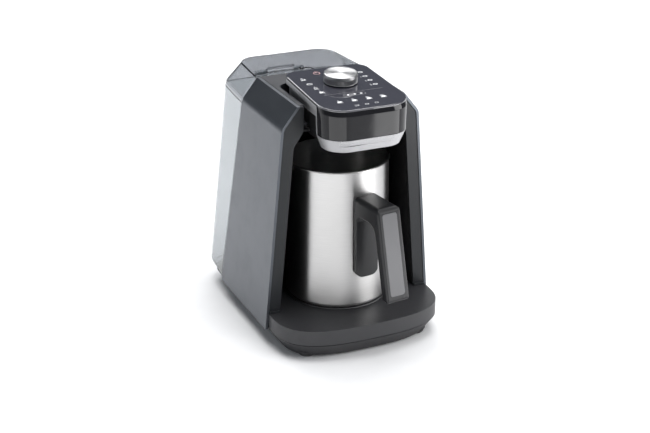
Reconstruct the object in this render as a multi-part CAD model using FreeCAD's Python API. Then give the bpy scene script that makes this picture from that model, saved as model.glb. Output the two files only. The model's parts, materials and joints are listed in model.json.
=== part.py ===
import FreeCAD, Part
import math
import os

# Electric coffee maker for small pots: a tapered casing with an arch at the
# front, a control head over the arch, a lift-off water tank behind and a
# steel pot with a side handle that stands on a heated plate.
# Millimetres, +Z up, front towards -Y, right-hand side +X.

V = FreeCAD.Vector
X_AXIS = V(1, 0, 0)
Y_AXIS = V(0, 1, 0)
Z_AXIS = V(0, 0, 1)

# Casing outline, seen from the front
casing_bottom_z = 16.0
casing_bottom_half = 88.2
shoulder_z = 220.0
shoulder_half = 70.8
shoulder_radius = 12.0
casing_top_z = 240.0
casing_top_half = 54.9
shell_wall = 2.6

# Casing outline, seen from the side
front_bottom_y = -54.0
front_top_y = -58.9
parting_bottom_y = 70.0
parting_top_y = 42.0
fit_gap = 0.4

# Water tank and lid
tank_bottom_z = 17.0
tank_rear_bottom_y = 126.5
tank_rear_shoulder_y = 116.5
tank_rear_top_y = 109.5
tank_side_taper = 0.075
tank_corner_radius = 19.0
tank_bottom_radius = 7.0
tank_front_corner_radius = 1.5
tank_wall = 2.2
tank_gap = 0.5
lid_parting_z = 215.6
lid_gap = 0.4
lid_wall = 2.0
lid_notch_width = 14.0
lid_notch_depth = 12.0
lid_notch_drop = 1.2
hinge_radius = 2.8
hinge_pin_radius = 1.2
hinge_pin_clearance = 0.06
hinge_offset_y = 3.2
hinge_offset_z = 1.6
hinge_half_length = 27.0
hinge_centre_half = 15.0

# Tank outlet, valve and dock
outlet_x = 30.0
outlet_y = 94.0
spigot_radius = 8.5
spigot_bottom_z = 10.0
valve_flange_radius = 13.0
valve_flange_thickness = 2.0
valve_bore_radius = 4.0
valve_chamber_radius = 7.0
valve_seat_z = 18.0
plunger_head_radius = 6.0
plunger_head_thickness = 1.6
plunger_lift = 1.0
plunger_stem_radius = 1.8
seal_thickness = 1.2
spring_coil_radius = 4.0
spring_wire_radius = 0.4
spring_turns = 5
spring_length = 10.0
strainer_radius = 9.0
strainer_wall = 1.2
strainer_slots = 8
dock_outer_radius = 12.5
dock_bore_radius = 10.4
dock_floor_z = 6.5
dock_pin_radius = 1.2
seal_clearance = 0.3

# Base
pan_bottom_z = 2.0
pan_top_z = casing_bottom_z
pan_wall = 2.5
pan_bottom_inset = 10.0
pan_rear_y = 117.0
pan_rear_radius = 26.0
deck_rim_bottom_z = 17.1
deck_top_z = 32.3
deck_half = casing_bottom_half - 3.3
deck_front_reach = 56.3
deck_roundness = 2.9
deck_joint_y = -57.9
deck_plate = 3.0
deck_rim_wall = 2.0
deck_skirt_wall = 2.0
deck_tongue_half = deck_half - 2.5
deck_tongue_rear_y = 40.0
deck_tongue_margin = 5.0
foot_radius = 9.0
foot_seat_depth = 1.0
foot_x = deck_half - 26.9
foot_front_y = -86.0
foot_rear_y = 92.0
gland_x = -45.0
gland_z = 9.2
gland_radius = 4.2
gland_flange_radius = 4.6
gland_bore_radius = 3.3
gland_length = 9.0

# Pot and its heated plate
pot_y = -26.8
plate_radius = 50.0
plate_rise = 1.2
plate_plug_radius = 43.6
plate_plug_bottom_z = 27.0
pot_bottom_radius = 50.8
pot_rim_radius = 50.2
pot_rim_z = 175.0
pot_wall = 1.0
pot_corner_radius = 3.0
pot_base_thickness = 1.6
rim_bead = 1.1
spout_reach = 7.5
spout_half_width = 10.5
spout_depth = 27.0
pot_turn = 7.5

# Pot handle, in the pot's own side view (reach from the pot's axis, height)
root_reach = 52.3
root_thickness = 4.4
root_half_width = 13.0
root_bottom_z = 68.0
handle_top_z = 150.5
arm_under_z = 133.0
grip_top_reach = 90.4
grip_bottom_reach = 110.7
grip_bottom_z = 61.0
grip_corner_radius = 4.5
grip_thickness = 10.5
grip_half_width = 12.4
handle_edge_radius = 2.0
inlay_half_width = 8.0
inlay_depth = 1.2
inlay_low_margin = 7.5
inlay_top_margin = 5.0
bracket_half_width = 9.0
bracket_thickness = 1.2
bracket_bottom_z = 76.0
bracket_top_z = 141.0

# Bay behind the arch
arch_foot_half = 72.6
arch_kink_z = 200.0
arch_kink_half = 58.2
arch_top_kink_z = 215.5
arch_top_half = 48.3
arch_radius = 7.0
column_plate = 3.0
column_recess = 0.6
column_flange_depth = 14.0
ledge_height = 2.6
ledge_reach = 2.2
liner_wall = 2.2
bay_rear_y = 34.0
bay_corner_radius = 45.0
liner_top_z = 216.0
cover_thickness = 2.6
tray_half = 48.2
tray_rear_y = 14.9
tray_corner_radius = 15.0
tray_wall = 1.6
tray_floor_z = 222.0
rear_wall_thickness = 3.0

# Control head: plan sizes at four heights
plate_slope = 0.0616
bezel_slope = 0.03
head_front_y = -102.4
head_flare = 1.8
head_rear_y = 8.0
head_front_half = 44.2
head_rear_half = 42.3
head_front_radius = 24.0
head_rear_radius = 13.0
plate_front_z = 245.7
bezel_front_z = 240.1
fascia_bottom_z = 217.2
trim_bottom_z = 204.5
trim_inset = 4.8
fascia_taper = 0.8
head_skin = 2.2
skin_gap = 0.4
fascia_end_y = -77.0
post_width = 2.0
rail_height = 5.0
rail_drop = 0.6
glass_thickness = 1.6
ledge_drop = 3.0
ledge_width = 4.8
chassis_bottom_z = 206.0
chassis_wall = 2.2
chassis_floor = 2.5
board_thickness = 1.6
board_z = 8.0
board_size = (62.0, 22.0)
board_corner = (-56.0, 43.5)

# Rotary knob, along the panel's normal
knob_y = -33.8
knob_radius = 16.1
knob_height = 9.9
knob_gap = 1.0
knob_wall = 1.5
knob_top = 1.5
knob_dish = 0.35
flute_count = 48
flute_depth = 0.5
flute_low = 2.0
flute_high = 7.2
shaft_radius = 3.0
shaft_flat = 0.8
shaft_clearance = 0.05
encoder_half = 7.0
encoder_depth = 8.4
rotor_radius = 5.2
rotor_height = 3.8

# Water circuit and electrics
pump_x = 62.0
pump_y = 38.0
pump_radius = 13.0
pump_bottom_z = 52.0
pump_motor_height = 34.0
pump_head_height = 15.0
pump_outlet_rise = 7.0
hose_radius = 3.0
hose_bore_radius = 2.05
hose_bend = 8.0
riser_x = 39.0
riser_top_x = 44.0
riser_top_y = 31.5
hose_high_z = 228.0
nozzle_x = -12.0
nozzle_y = -40.0
nozzle_radius = 5.0
nozzle_tip_z = 202.0
sensor_x = 12.0
element_ring_radius = 30.0
element_tube_radius = 3.2
screw_radius = 1.6
screw_head_radius = 3.2
screw_head_height = 1.8
shell_screw_inset = 4.0
shell_screw_heights = (44.0, 118.0, 192.0)


# Shared helpers

def rounded_edges(corners, radii, closed):
    """Straight edges through the corners, with a tangent arc at each radius."""
    count = len(corners)
    joins = []
    for index, corner in enumerate(corners):
        radius = radii[index]
        at_end = not closed and index in (0, count - 1)
        if at_end or radius <= 0:
            joins.append((corner, None, corner))
            continue
        before = (corners[index - 1] - corner).normalize()
        after = (corners[(index + 1) % count] - corner).normalize()
        half_angle = before.getAngle(after) / 2
        reach = radius / math.tan(half_angle)
        inward = (before + after).normalize()
        middle = corner + inward * (radius / math.sin(half_angle) - radius)
        joins.append((corner + before * reach, middle, corner + after * reach))
    edges = []
    for index, (start, middle, end) in enumerate(joins):
        if middle is not None:
            edges.append(Part.Arc(start, middle, end).toShape())
        if index == count - 1 and not closed:
            break
        following = joins[(index + 1) % count][0]
        if (following - end).Length > 1e-6:
            edges.append(Part.makeLine(end, following))
    return edges


def outline(points, place):
    """Closed wire; each point is (a, b) or (a, b, corner radius)."""
    corners = [place(point[0], point[1]) for point in points]
    radii = [point[2] if len(point) > 2 else 0.0 for point in points]
    return Part.Wire(rounded_edges(corners, radii, True))


def front_view(y):
    return lambda a, b: V(a, y, b)


def side_view(x):
    return lambda a, b: V(x, a, b)


def plan_view(z):
    return lambda a, b: V(a, b, z)


def slab(points, place, push):
    return Part.Face(outline(points, place)).extrude(push)


def loft(wires):
    return Part.makeLoft(wires, True, True)


def disc(radius, bottom, top, x=0.0, y=0.0):
    return Part.makeCylinder(radius, top - bottom, V(x, y, bottom))


def turned(points, x=0.0, y=0.0):
    """Solid of revolution about an upright axis; points are (radius, height)."""
    face = Part.Face(outline(points, front_view(0.0)))
    solid = face.revolve(V(0, 0, 0), Z_AXIS, 360)
    solid.translate(V(x, y, 0))
    return solid


def tube(points, bend, radius, inner=0.0):
    """Round hose along points, with tangent bends of one radius."""
    corners = [V(*point) for point in points]
    path = Part.Wire(rounded_edges(corners, [bend] * len(corners), False))
    start = (corners[1] - corners[0]).normalize()

    def swept(size):
        ring = Part.Wire(Part.makeCircle(size, corners[0], start))
        return path.makePipeShell([ring], True, False)

    hose = swept(radius)
    return hose.cut(swept(inner)) if inner > 0 else hose


def mirrored(shape):
    return shape.mirror(V(0, 0, 0), X_AXIS)


def between(a, b, share):
    return a + (b - a) * share


# Outer form of casing and tank

side_angle = math.atan((casing_bottom_half - shoulder_half) / (shoulder_z - casing_bottom_z))
bevel_angle = math.atan((shoulder_half - casing_top_half) / (casing_top_z - shoulder_z))


def casing_corners(inset):
    """Bottom, shoulder and top corner of the right-hand side, moved inward."""
    side_shift = inset / math.cos(side_angle)
    bevel_shift = inset / math.cos(bevel_angle)
    side_slope = math.tan(side_angle)
    bevel_slope = math.tan(bevel_angle)
    drop = (bevel_shift - side_shift) / (bevel_slope - side_slope)
    shoulder_x = shoulder_half - side_shift + side_slope * drop
    bottom = (casing_bottom_half - side_shift, casing_bottom_z)
    top = (casing_top_half - bevel_shift, casing_top_z)
    return bottom, (shoulder_x, shoulder_z - drop), top


def casing_half(z):
    """Half width of the casing at a height, with the rounded shoulder."""
    turn = bevel_angle - side_angle
    reach = shoulder_radius * math.tan(turn / 2)
    low_z = shoulder_z - reach * math.cos(side_angle)
    high_z = shoulder_z + reach * math.cos(bevel_angle)
    low_x = shoulder_half + reach * math.sin(side_angle)
    centre_x = low_x - shoulder_radius * math.cos(side_angle)
    centre_z = low_z - shoulder_radius * math.sin(side_angle)
    if z <= low_z:
        return casing_bottom_half - (z - casing_bottom_z) * math.tan(side_angle)
    if z >= high_z:
        return shoulder_half - (z - shoulder_z) * math.tan(bevel_angle)
    return centre_x + math.sqrt(shoulder_radius ** 2 - (z - centre_z) ** 2)


def front_y(z):
    share = min((z - casing_bottom_z) / (shoulder_z - casing_bottom_z), 1.0)
    return between(front_bottom_y, front_top_y, share)


def parting_y(z):
    share = min((z - casing_bottom_z) / (shoulder_z - casing_bottom_z), 1.0)
    return between(parting_bottom_y, parting_top_y, share)


def tank_rear_y(z):
    if z <= shoulder_z:
        share = (z - casing_bottom_z) / (shoulder_z - casing_bottom_z)
        return between(tank_rear_bottom_y, tank_rear_shoulder_y, share)
    share = (z - shoulder_z) / (casing_top_z - shoulder_z)
    return between(tank_rear_shoulder_y, tank_rear_top_y, share)


def side_region(front_shift, rear_shift, low, high):
    """Block over the whole width between the leaning front and rear lines."""
    points = [
        (front_y(low) + front_shift, low),
        (parting_y(low) + rear_shift, low),
        (parting_y(shoulder_z) + rear_shift, shoulder_z),
        (parting_y(high) + rear_shift, high),
        (front_y(high) + front_shift, high),
        (front_y(shoulder_z) + front_shift, shoulder_z),
    ]
    width = 2 * casing_bottom_half + 20
    return slab(points, side_view(-width / 2), V(width, 0, 0))


def casing_block(inset, low_z):
    """Full-width casing section, pushed along Y."""
    bottom, shoulder, top = casing_corners(inset)
    low_half = bottom[0] - (low_z - casing_bottom_z) * math.tan(side_angle)
    radius = max(shoulder_radius - inset, 1.0)
    points = [
        (low_half, low_z),
        (shoulder[0], shoulder[1], radius),
        top,
        (-top[0], casing_top_z),
        (-shoulder[0], shoulder[1], radius),
        (-low_half, low_z),
    ]
    depth = 200.0
    return slab(points, front_view(-90.0), V(0, depth, 0))


def side_shell():
    """Right-hand side shell: side wall, rounded shoulder and bevel."""
    outer = casing_corners(0.0)
    inner = casing_corners(shell_wall)
    points = [
        outer[0],
        (outer[1][0], outer[1][1], shoulder_radius),
        outer[2],
        inner[2],
        (inner[1][0], inner[1][1], shoulder_radius - shell_wall),
        inner[0],
    ]
    skin = slab(points, front_view(-90.0), V(0, 200.0, 0))
    shell = skin.common(side_region(0.0, 0.0, casing_bottom_z, casing_top_z))
    boss_radius = shell_screw_inset + 0.4
    boss_length = 12.0
    for z in shell_screw_heights:
        x = shell_screw_x(z)
        y = parting_y(z) - rear_wall_thickness - boss_length - 0.8
        boss = Part.makeCylinder(boss_radius, boss_length, V(x, y, z), Y_AXIS)
        pilot = Part.makeCylinder(screw_radius, boss_length + 2, V(x, y - 1, z), Y_AXIS)
        shell = shell.fuse(boss).cut(pilot)
    return shell.removeSplitter()


def shell_screw_x(z):
    return casing_half(z) - shell_wall - shell_screw_inset


# Arch, bay and rear wall

def arch_points(low_z, growth=0.0):
    """Right-hand edge of the arch opening, bottom to top."""
    slope = (arch_foot_half - arch_kink_half) / (arch_kink_z - deck_top_z)
    low_half = arch_foot_half - slope * (low_z - deck_top_z)
    return [
        (low_half + growth, low_z),
        (arch_kink_half + growth, arch_kink_z, arch_radius),
        (arch_top_half + growth, arch_top_kink_z + growth, arch_radius / 2),
    ]


def column():
    """Right-hand front column: face plate, outer flange and foot ledge."""
    top_z = casing_top_z - 0.6
    outer = casing_corners(shell_wall + fit_gap)
    low_half = outer[0][0] - (deck_top_z - casing_bottom_z) * math.tan(side_angle)
    top_half = outer[2][0] + 0.6 * math.tan(bevel_angle)
    radius = shoulder_radius - shell_wall - fit_gap
    face = arch_points(deck_top_z) + [
        (arch_top_half, top_z),
        (top_half, top_z),
        (outer[1][0], outer[1][1], radius),
        (low_half, deck_top_z),
    ]
    block = slab(face, front_view(-90.0), V(0, 120.0, 0))
    plate_zone = side_region(column_recess, 0, deck_top_z, casing_top_z).cut(
        side_region(column_recess + column_plate, 0, deck_top_z - 1, casing_top_z + 1))
    flange_zone = side_region(column_recess, 0, deck_top_z, arch_top_kink_z).cut(
        side_region(column_recess + column_flange_depth, 0, deck_top_z - 1, casing_top_z))
    inner = casing_corners(shell_wall + fit_gap + column_plate)
    inner_low = inner[0][0] - (deck_top_z - casing_bottom_z) * math.tan(side_angle)
    core = slab(
        [(0, 0), (inner_low + deck_top_z * math.tan(side_angle), 0),
         (inner[1][0], inner[1][1], radius - column_plate), (inner[2][0], casing_top_z), (0, casing_top_z)],
        front_view(-90.0), V(0, 120.0, 0))
    flange = block.common(flange_zone).cut(core)
    body = block.common(plate_zone).fuse(flange)
    low_front = front_y(deck_top_z) + column_recess
    ledge_zone = Part.makeBox(
        200, ledge_reach + column_plate, ledge_height, V(0, low_front - ledge_reach, deck_top_z))
    return body.fuse(block.common(ledge_zone)).removeSplitter()


def bay_plan(z, half, growth):
    front = front_top_y - 12.0
    radius = bay_corner_radius + growth
    points = [
        (-half - growth, front),
        (half + growth, front),
        (half + growth, bay_rear_y + growth, radius),
        (-half - growth, bay_rear_y + growth, radius),
    ]
    return outline(points, plan_view(z))


def bay_liner():
    """Black wall round the pot: straight sides, rounded back and a ceiling."""
    foot = arch_foot_half
    kink = arch_kink_half
    crown = arch_top_half + 1.0
    ceiling = liner_top_z - liner_wall
    outer = loft([bay_plan(deck_top_z, foot, liner_wall), bay_plan(arch_kink_z, kink, liner_wall)])
    outer = outer.fuse(
        loft([bay_plan(arch_kink_z, kink, liner_wall), bay_plan(liner_top_z, crown, liner_wall)]))
    inner = loft([bay_plan(deck_top_z, foot, 0), bay_plan(arch_kink_z, kink, 0)])
    inner = inner.fuse(loft([bay_plan(arch_kink_z, kink, 0), bay_plan(ceiling, crown, 0)]))
    back = column_recess + column_plate
    zone = side_region(back, 0, deck_top_z, casing_top_z)
    liner = outer.cut(inner).common(zone)
    opening = loft([head_plan("trim", -0.6, 0, 200.0), head_plan("fascia", -0.6, 0, 230.0)])
    return liner.cut(opening).removeSplitter()


def rear_wall():
    """Leaning wall between the casing and the tank."""
    block = casing_block(shell_wall + fit_gap, casing_bottom_z)
    zone = side_region(0, 0, casing_bottom_z, casing_top_z - cover_thickness)
    front = side_region(0, -rear_wall_thickness, casing_bottom_z - 1, casing_top_z)
    wall = block.common(zone).cut(front)
    for z in shell_screw_heights:
        for side in (-1, 1):
            place = V(side * shell_screw_x(z), parting_y(z), z)
            hole = Part.makeCylinder(screw_radius + 0.2, 40, place - V(0, 20, 0), Y_AXIS)
            head_y = V(0, screw_head_height + 0.4, 0)
            recess = Part.makeCylinder(screw_head_radius + 0.2, 10, place - head_y, Y_AXIS)
            wall = wall.cut(hole).cut(recess)
    return wall.removeSplitter()


def tray_zone(growth, low_z, high_z, front):
    half = tray_half - growth
    points = [
        (-half, front),
        (half, front),
        (half, tray_rear_y - growth, tray_corner_radius - growth),
        (-half, tray_rear_y - growth, tray_corner_radius - growth),
    ]
    return slab(points, plan_view(low_z), V(0, 0, high_z - low_z))


def top_cover():
    """Flat shoulder round the head, with the sunk tray that carries the head."""
    low_z = casing_top_z - cover_thickness
    half = casing_corners(shell_wall)[2][0] - fit_gap
    front = front_y(casing_top_z) + column_recess + column_plate
    rear = parting_top_y
    points = [(-half, front), (half, front), (half, rear), (-half, rear)]
    cover = slab(points, plan_view(low_z), V(0, 0, cover_thickness))
    floor_low = tray_floor_z - tray_wall
    well = tray_zone(0, floor_low, low_z, front)
    space = tray_zone(tray_wall, tray_floor_z, casing_top_z + 1, front - 1)
    cover = cover.fuse(well).cut(space)
    neck = loft([head_plan("fascia", -0.6, 0, 215.0), head_plan("bezel", -0.6, 0)])
    hose_hole = Part.makeCylinder(
        hose_radius + 0.4, 12, V(nozzle_x, tray_rear_y - 8, hose_high_z), Y_AXIS)
    return cover.cut(neck).cut(hose_hole).removeSplitter()


# Base

def base_plan(z, inset):
    """Base outline: rounded lobe in front, straight sides, rounded rear."""
    half = deck_half - inset
    reach = deck_front_reach - inset
    power = 2.0 / deck_roundness
    steps = 16
    crowding = 0.7
    lobe = []
    for index in range(steps + 1):
        share = index / steps
        angle = math.pi * share - crowding / 2 * math.sin(2 * math.pi * share)
        across = math.copysign(abs(math.cos(angle)) ** power, math.cos(angle))
        lobe.append(V(half * across, deck_joint_y - reach * abs(math.sin(angle)) ** power, z))
    curve = Part.BSplineCurve()
    curve.interpolate(Points=lobe, InitialTangent=V(0, -1, 0), FinalTangent=V(0, 1, 0))
    rear = pan_rear_y - inset
    radius = pan_rear_radius - inset
    corners = [V(-half, deck_joint_y, z), V(-half, rear, z), V(half, rear, z), V(half, deck_joint_y, z)]
    sides = rounded_edges(corners, [0, radius, radius, 0], False)
    return Part.Wire([curve.toShape()] + sides)


def deck_plan(z, inset, rear_y):
    """Front lobe of the deck, closed by a straight line at rear_y."""
    whole = Part.Face(base_plan(z, inset))
    width = 2 * casing_bottom_half
    keep = Part.makeBox(2 * width, 400, 2, V(-width, rear_y - 400, z - 1))
    return whole.common(keep)


def tongue_block(inset, front, top_z):
    """Floor of the bay, with rear corners that follow the bay's wall."""
    half = deck_tongue_half - inset
    rear = deck_tongue_rear_y - inset
    radius = bay_corner_radius + deck_tongue_margin - inset
    points = [(-half, front), (half, front), (half, rear, radius), (-half, rear, radius)]
    return slab(points, plan_view(pan_top_z), V(0, 0, top_z - pan_top_z))


def base_deck():
    """Deck: front lobe with a rim, and a tongue that is the floor of the bay."""
    joint = front_y(deck_rim_bottom_z) - fit_gap
    rim = deck_plan(deck_rim_bottom_z, 0, joint).extrude(V(0, 0, deck_top_z - deck_rim_bottom_z))
    skirt = deck_plan(pan_top_z, deck_rim_wall - 0.4, joint).extrude(V(0, 0, deck_top_z - pan_top_z - 1))
    tongue = tongue_block(0.0, joint - 2, deck_top_z)
    deck = rim.fuse(skirt).fuse(tongue)
    hollow_inset = deck_rim_wall + deck_skirt_wall
    hollow = deck_plan(pan_top_z, hollow_inset, joint + 1).extrude(
        V(0, 0, deck_top_z - deck_plate - pan_top_z))
    tongue_hollow = tongue_block(hollow_inset, joint - 1, deck_top_z - deck_plate)
    well = disc(plate_plug_radius + 0.4, pan_top_z, deck_top_z + 1, 0, pot_y)
    return deck.cut(hollow).cut(tongue_hollow).cut(well).removeSplitter()


def base_pan():
    """Lower tray that tapers inward to the floor."""
    top_inset = 0.9
    outer = loft([base_plan(pan_bottom_z, pan_bottom_inset), base_plan(pan_top_z, top_inset)])
    floor_z = pan_bottom_z + pan_wall
    inner = loft([
        base_plan(floor_z, pan_bottom_inset + pan_wall - 1.2),
        base_plan(pan_top_z, top_inset + pan_wall)])
    pan = outer.cut(inner)
    for x, y in foot_places():
        post = disc(foot_radius + 1.5, floor_z - 0.5, floor_z + 1.0, x, y)
        seat = disc(foot_radius + 0.2, pan_bottom_z - 1, pan_bottom_z + foot_seat_depth, x, y)
        pan = pan.fuse(post).cut(seat)
    for x, y in base_screw_places():
        post = disc(screw_head_radius + 1.6, floor_z - 0.5, pan_top_z, x, y)
        bore = disc(screw_radius + 0.2, pan_bottom_z - 1, pan_top_z + 1, x, y)
        head = disc(screw_head_radius + 0.3, pan_bottom_z - 1, pan_bottom_z + 5, x, y)
        pan = pan.fuse(post).cut(bore).cut(head)
    for x, y in board_posts():
        pan = pan.fuse(disc(3.0, floor_z - 0.5, board_z, x, y))
    gland_hole = Part.makeCylinder(
        gland_radius + 0.05, 30, V(gland_x, pan_rear_y - 22, gland_z), Y_AXIS)
    dock_support = disc(dock_outer_radius + 2, floor_z - 0.5, dock_floor_z - 0.5, outlet_x, outlet_y)
    return pan.fuse(dock_support).cut(gland_hole).removeSplitter()


def foot_places():
    return [(sx * foot_x, y) for sx in (-1, 1) for y in (foot_front_y, foot_rear_y)]


def base_screw_places():
    return [(side * (foot_x + out), y) for side, out, y in ((-1, 8, -40), (1, 8, -40), (-1, 8, 58), (1, 14, 58))]


def board_posts():
    x, y = board_corner
    wide, deep = board_size
    inset = 4.0
    return [(x + dx, y + dy) for dx in (inset, wide - inset) for dy in (inset, deep - inset)]


def rubber_feet():
    feet = []
    for x, y in foot_places():
        points = [
            (0, 0), (foot_radius - 1, 0, 0.5), (foot_radius, 1.0, 0.5),
            (foot_radius, pan_bottom_z + foot_seat_depth), (0, pan_bottom_z + foot_seat_depth)]
        feet.append(turned(points, x, y))
    return Part.makeCompound(feet)


def screw(length):
    """Pan-head screw pointing up, head underneath."""
    points = [
        (0, 0), (screw_head_radius - 0.6, 0), (screw_head_radius, 0.8),
        (screw_head_radius, screw_head_height), (screw_radius, screw_head_height),
        (screw_radius, length - 1.0), (0, length)]
    return turned(points)


def base_screws():
    screws = []
    for x, y in base_screw_places():
        item = screw(pan_top_z - pan_bottom_z - 4.2)
        item.translate(V(x, y, pan_bottom_z + 3.2))
        screws.append(item)
    return Part.makeCompound(screws)


def shell_screws():
    screws = []
    for z in shell_screw_heights:
        for side in (-1, 1):
            item = screw(11.0)
            item.rotate(V(0, 0, 0), X_AXIS, 90)
            item.translate(V(side * shell_screw_x(z), parting_y(z) - 0.4, z))
            screws.append(item)
    return Part.makeCompound(screws)


def tank_platform():
    """Shelf under the tank, with two ribs that the tank stands on."""
    thickness = 2.0
    inset = pan_wall + 2.6
    plan = Part.Face(base_plan(pan_top_z - thickness, inset))
    front = parting_y(pan_top_z) - 4.0
    zone = Part.makeBox(400, 200, 20, V(-200, front, pan_top_z - 10))
    shelf = plan.extrude(V(0, 0, thickness)).common(zone)
    hole = disc(dock_outer_radius + 0.1, pan_top_z - 20, pan_top_z + 20, outlet_x, outlet_y)
    shelf = shelf.cut(hole)
    for x in (-52.0, 52.0):
        rib = Part.makeBox(6, 26, tank_bottom_z - pan_top_z + 0.5, V(x - 3, 76, pan_top_z - 0.5))
        shelf = shelf.fuse(rib)
    for x, y in ((-30.0, 98.0), (8.0, 100.0), (-8.0, 74.0), (foot_x + 8, 76.0)):
        leg = disc(3.0, pan_bottom_z + pan_wall, pan_top_z - thickness + 0.5, x, y)
        shelf = shelf.fuse(leg)
    return shelf.removeSplitter()


def cord_gland():
    """Rubber bush in the pan's rear wall, where the mains lead would enter."""
    y = pan_rear_y - 14.0
    body = Part.makeCylinder(gland_radius, gland_length, V(gland_x, y, gland_z), Y_AXIS)
    inner = Part.makeCylinder(gland_flange_radius, 1.6, V(gland_x, y, gland_z), Y_AXIS)
    bore = Part.makeCylinder(gland_bore_radius, gland_length + 4, V(gland_x, y - 2, gland_z), Y_AXIS)
    return body.fuse(inner).cut(bore)


def heater_plate():
    top = deck_top_z + plate_rise
    points = [
        (0, plate_plug_bottom_z), (plate_plug_radius, plate_plug_bottom_z),
        (plate_plug_radius, deck_top_z), (plate_radius, deck_top_z),
        (plate_radius, top, 0.8), (plate_radius - 4, top), (plate_radius - 5, top - 0.4),
        (0, top - 0.4)]
    return turned(points, 0, pot_y)


def heating_element():
    """Tubular element bent round under the plate, with two terminal pins."""
    z = plate_plug_bottom_z - element_tube_radius - 0.1
    sweep = 300
    ring = Part.makeTorus(
        element_ring_radius, element_tube_radius, V(0, 0, 0), Z_AXIS, -180, 180, sweep)
    ring.rotate(V(0, 0, 0), Z_AXIS, 120)
    ring.translate(V(0, pot_y, z))
    for angle in (120, 120 + sweep):
        turn = math.radians(angle)
        x = element_ring_radius * math.cos(turn)
        y = element_ring_radius * math.sin(turn) + pot_y
        pin = Part.makeCylinder(1.2, 8, V(x, y, z - 6))
        ring = ring.fuse(pin)
    return ring


def heat_shield():
    """Spun dish under the element, hung from the deck."""
    under = deck_top_z - deck_plate
    rim = plate_plug_radius + 0.6
    thickness = 0.8
    low = 11.5
    points = [
        (0, low), (rim + 0.2, low, 3), (rim + thickness, under - thickness), (rim + 7, under - thickness),
        (rim + 7, under), (rim, under), (rim - 0.6, low + thickness, 2), (0, low + thickness)]
    dish = turned(points, 0, pot_y)
    for angle in (120, 60):
        turn = math.radians(angle)
        x = element_ring_radius * math.cos(turn)
        y = element_ring_radius * math.sin(turn) + pot_y
        dish = dish.cut(disc(2.2, low - 1, low + 3, x, y))
    return dish


def temperature_sensor():
    z = plate_plug_bottom_z
    return turned([(0, z - 6), (3.5, z - 6, 0.5), (3.5, z - 2), (5.5, z - 2), (5.5, z), (0, z)], 0, pot_y)


def thermal_fuse():
    z = plate_plug_bottom_z - 2.2
    body = Part.makeCylinder(2.2, 14, V(-7, pot_y - 14, z), X_AXIS)
    return body


# Head

def head_level(name):
    """Plan sizes of the head at a named level."""
    levels = {
        "glass": (head_front_half, head_front_y, head_front_radius, plate_front_z, plate_slope),
        "bezel": (head_front_half - 0.2, head_front_y - head_flare, head_front_radius - 0.5,
                  bezel_front_z, bezel_slope),
        "fascia": (head_front_half - fascia_taper, head_front_y - head_flare, head_front_radius - 1,
                   fascia_bottom_z, 0.0),
        "trim": (head_front_half - fascia_taper - trim_inset, head_front_y - head_flare + trim_inset,
                 head_front_radius - 4, trim_bottom_z, 0.0),
    }
    return levels[name]


def head_plan(name, inset=0.0, lift=0.0, flat_z=None):
    """Rounded outline of the head at a level, tilted like that level."""
    half, front, radius, z, slope = head_level(name)
    rear_half = head_rear_half - (head_front_half - half)
    points = [
        (-half + inset, front + inset, radius - inset),
        (half - inset, front + inset, radius - inset),
        (rear_half - inset, head_rear_y - inset, head_rear_radius - inset),
        (-rear_half + inset, head_rear_y - inset, head_rear_radius - inset),
    ]
    if flat_z is not None:
        return outline(points, plan_view(flat_z))
    wire = outline(points, plan_view(z + lift))
    wire.rotate(V(0, front, z + lift), X_AXIS, math.degrees(math.atan(slope)))
    return wire


def skin_between(top, top_lift, bottom, bottom_lift):
    """Ring of skin thickness between two levels of the head."""
    outer = loft([head_plan(bottom, 0, bottom_lift), head_plan(top, 0, top_lift)])
    inner = loft([head_plan(bottom, head_skin, bottom_lift), head_plan(top, head_skin, top_lift)])
    return outer.cut(inner)


def in_front_of(y):
    return Part.makeBox(400, 400, 400, V(-200, y - 400, 0))


def control_plate():
    """Glass panel with the hole for the knob's shaft."""
    glass = loft([head_plan("glass", 0, -glass_thickness), head_plan("glass")])
    rim = [edge for edge in glass.Edges if is_top_rim(edge)]
    glass = glass.makeFillet(0.7, rim)
    hole = knob_place(disc(shaft_radius + 1.5, -10, 10))
    return glass.cut(hole)


def is_top_rim(edge):
    """True for an edge that lies in the top plane of the panel."""
    for vertex in edge.Vertexes:
        if abs(vertex.Z - panel_z(vertex.Y)) > 0.05:
            return False
    return True


def panel_z(y):
    return plate_front_z + plate_slope * (y - head_front_y)


def head_fascia():
    """Gloss front: a sloped band under the glass and the upright face below."""
    band = skin_between("glass", -glass_thickness, "bezel", 0)
    face = skin_between("bezel", 0, "fascia", 0.3)
    return band.fuse(face).common(in_front_of(fascia_end_y)).removeSplitter()


def head_frame():
    """Bright frame: side rails, two posts behind the fascia and the lower band."""
    rail_top = -glass_thickness - rail_drop
    rails = skin_between("glass", rail_top, "glass", rail_top - rail_height).cut(
        in_front_of(fascia_end_y + 0.3))
    upright = skin_between("bezel", 0, "fascia", 0).fuse(skin_between("fascia", 0, "trim", 0))
    posts = upright.cut(in_front_of(fascia_end_y + 0.3)).common(
        in_front_of(fascia_end_y + 0.3 + post_width))
    band = skin_between("fascia", 0, "trim", 0).common(
        in_front_of(fascia_end_y + 0.3 + post_width))
    return rails.fuse(posts).fuse(band).removeSplitter()


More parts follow.
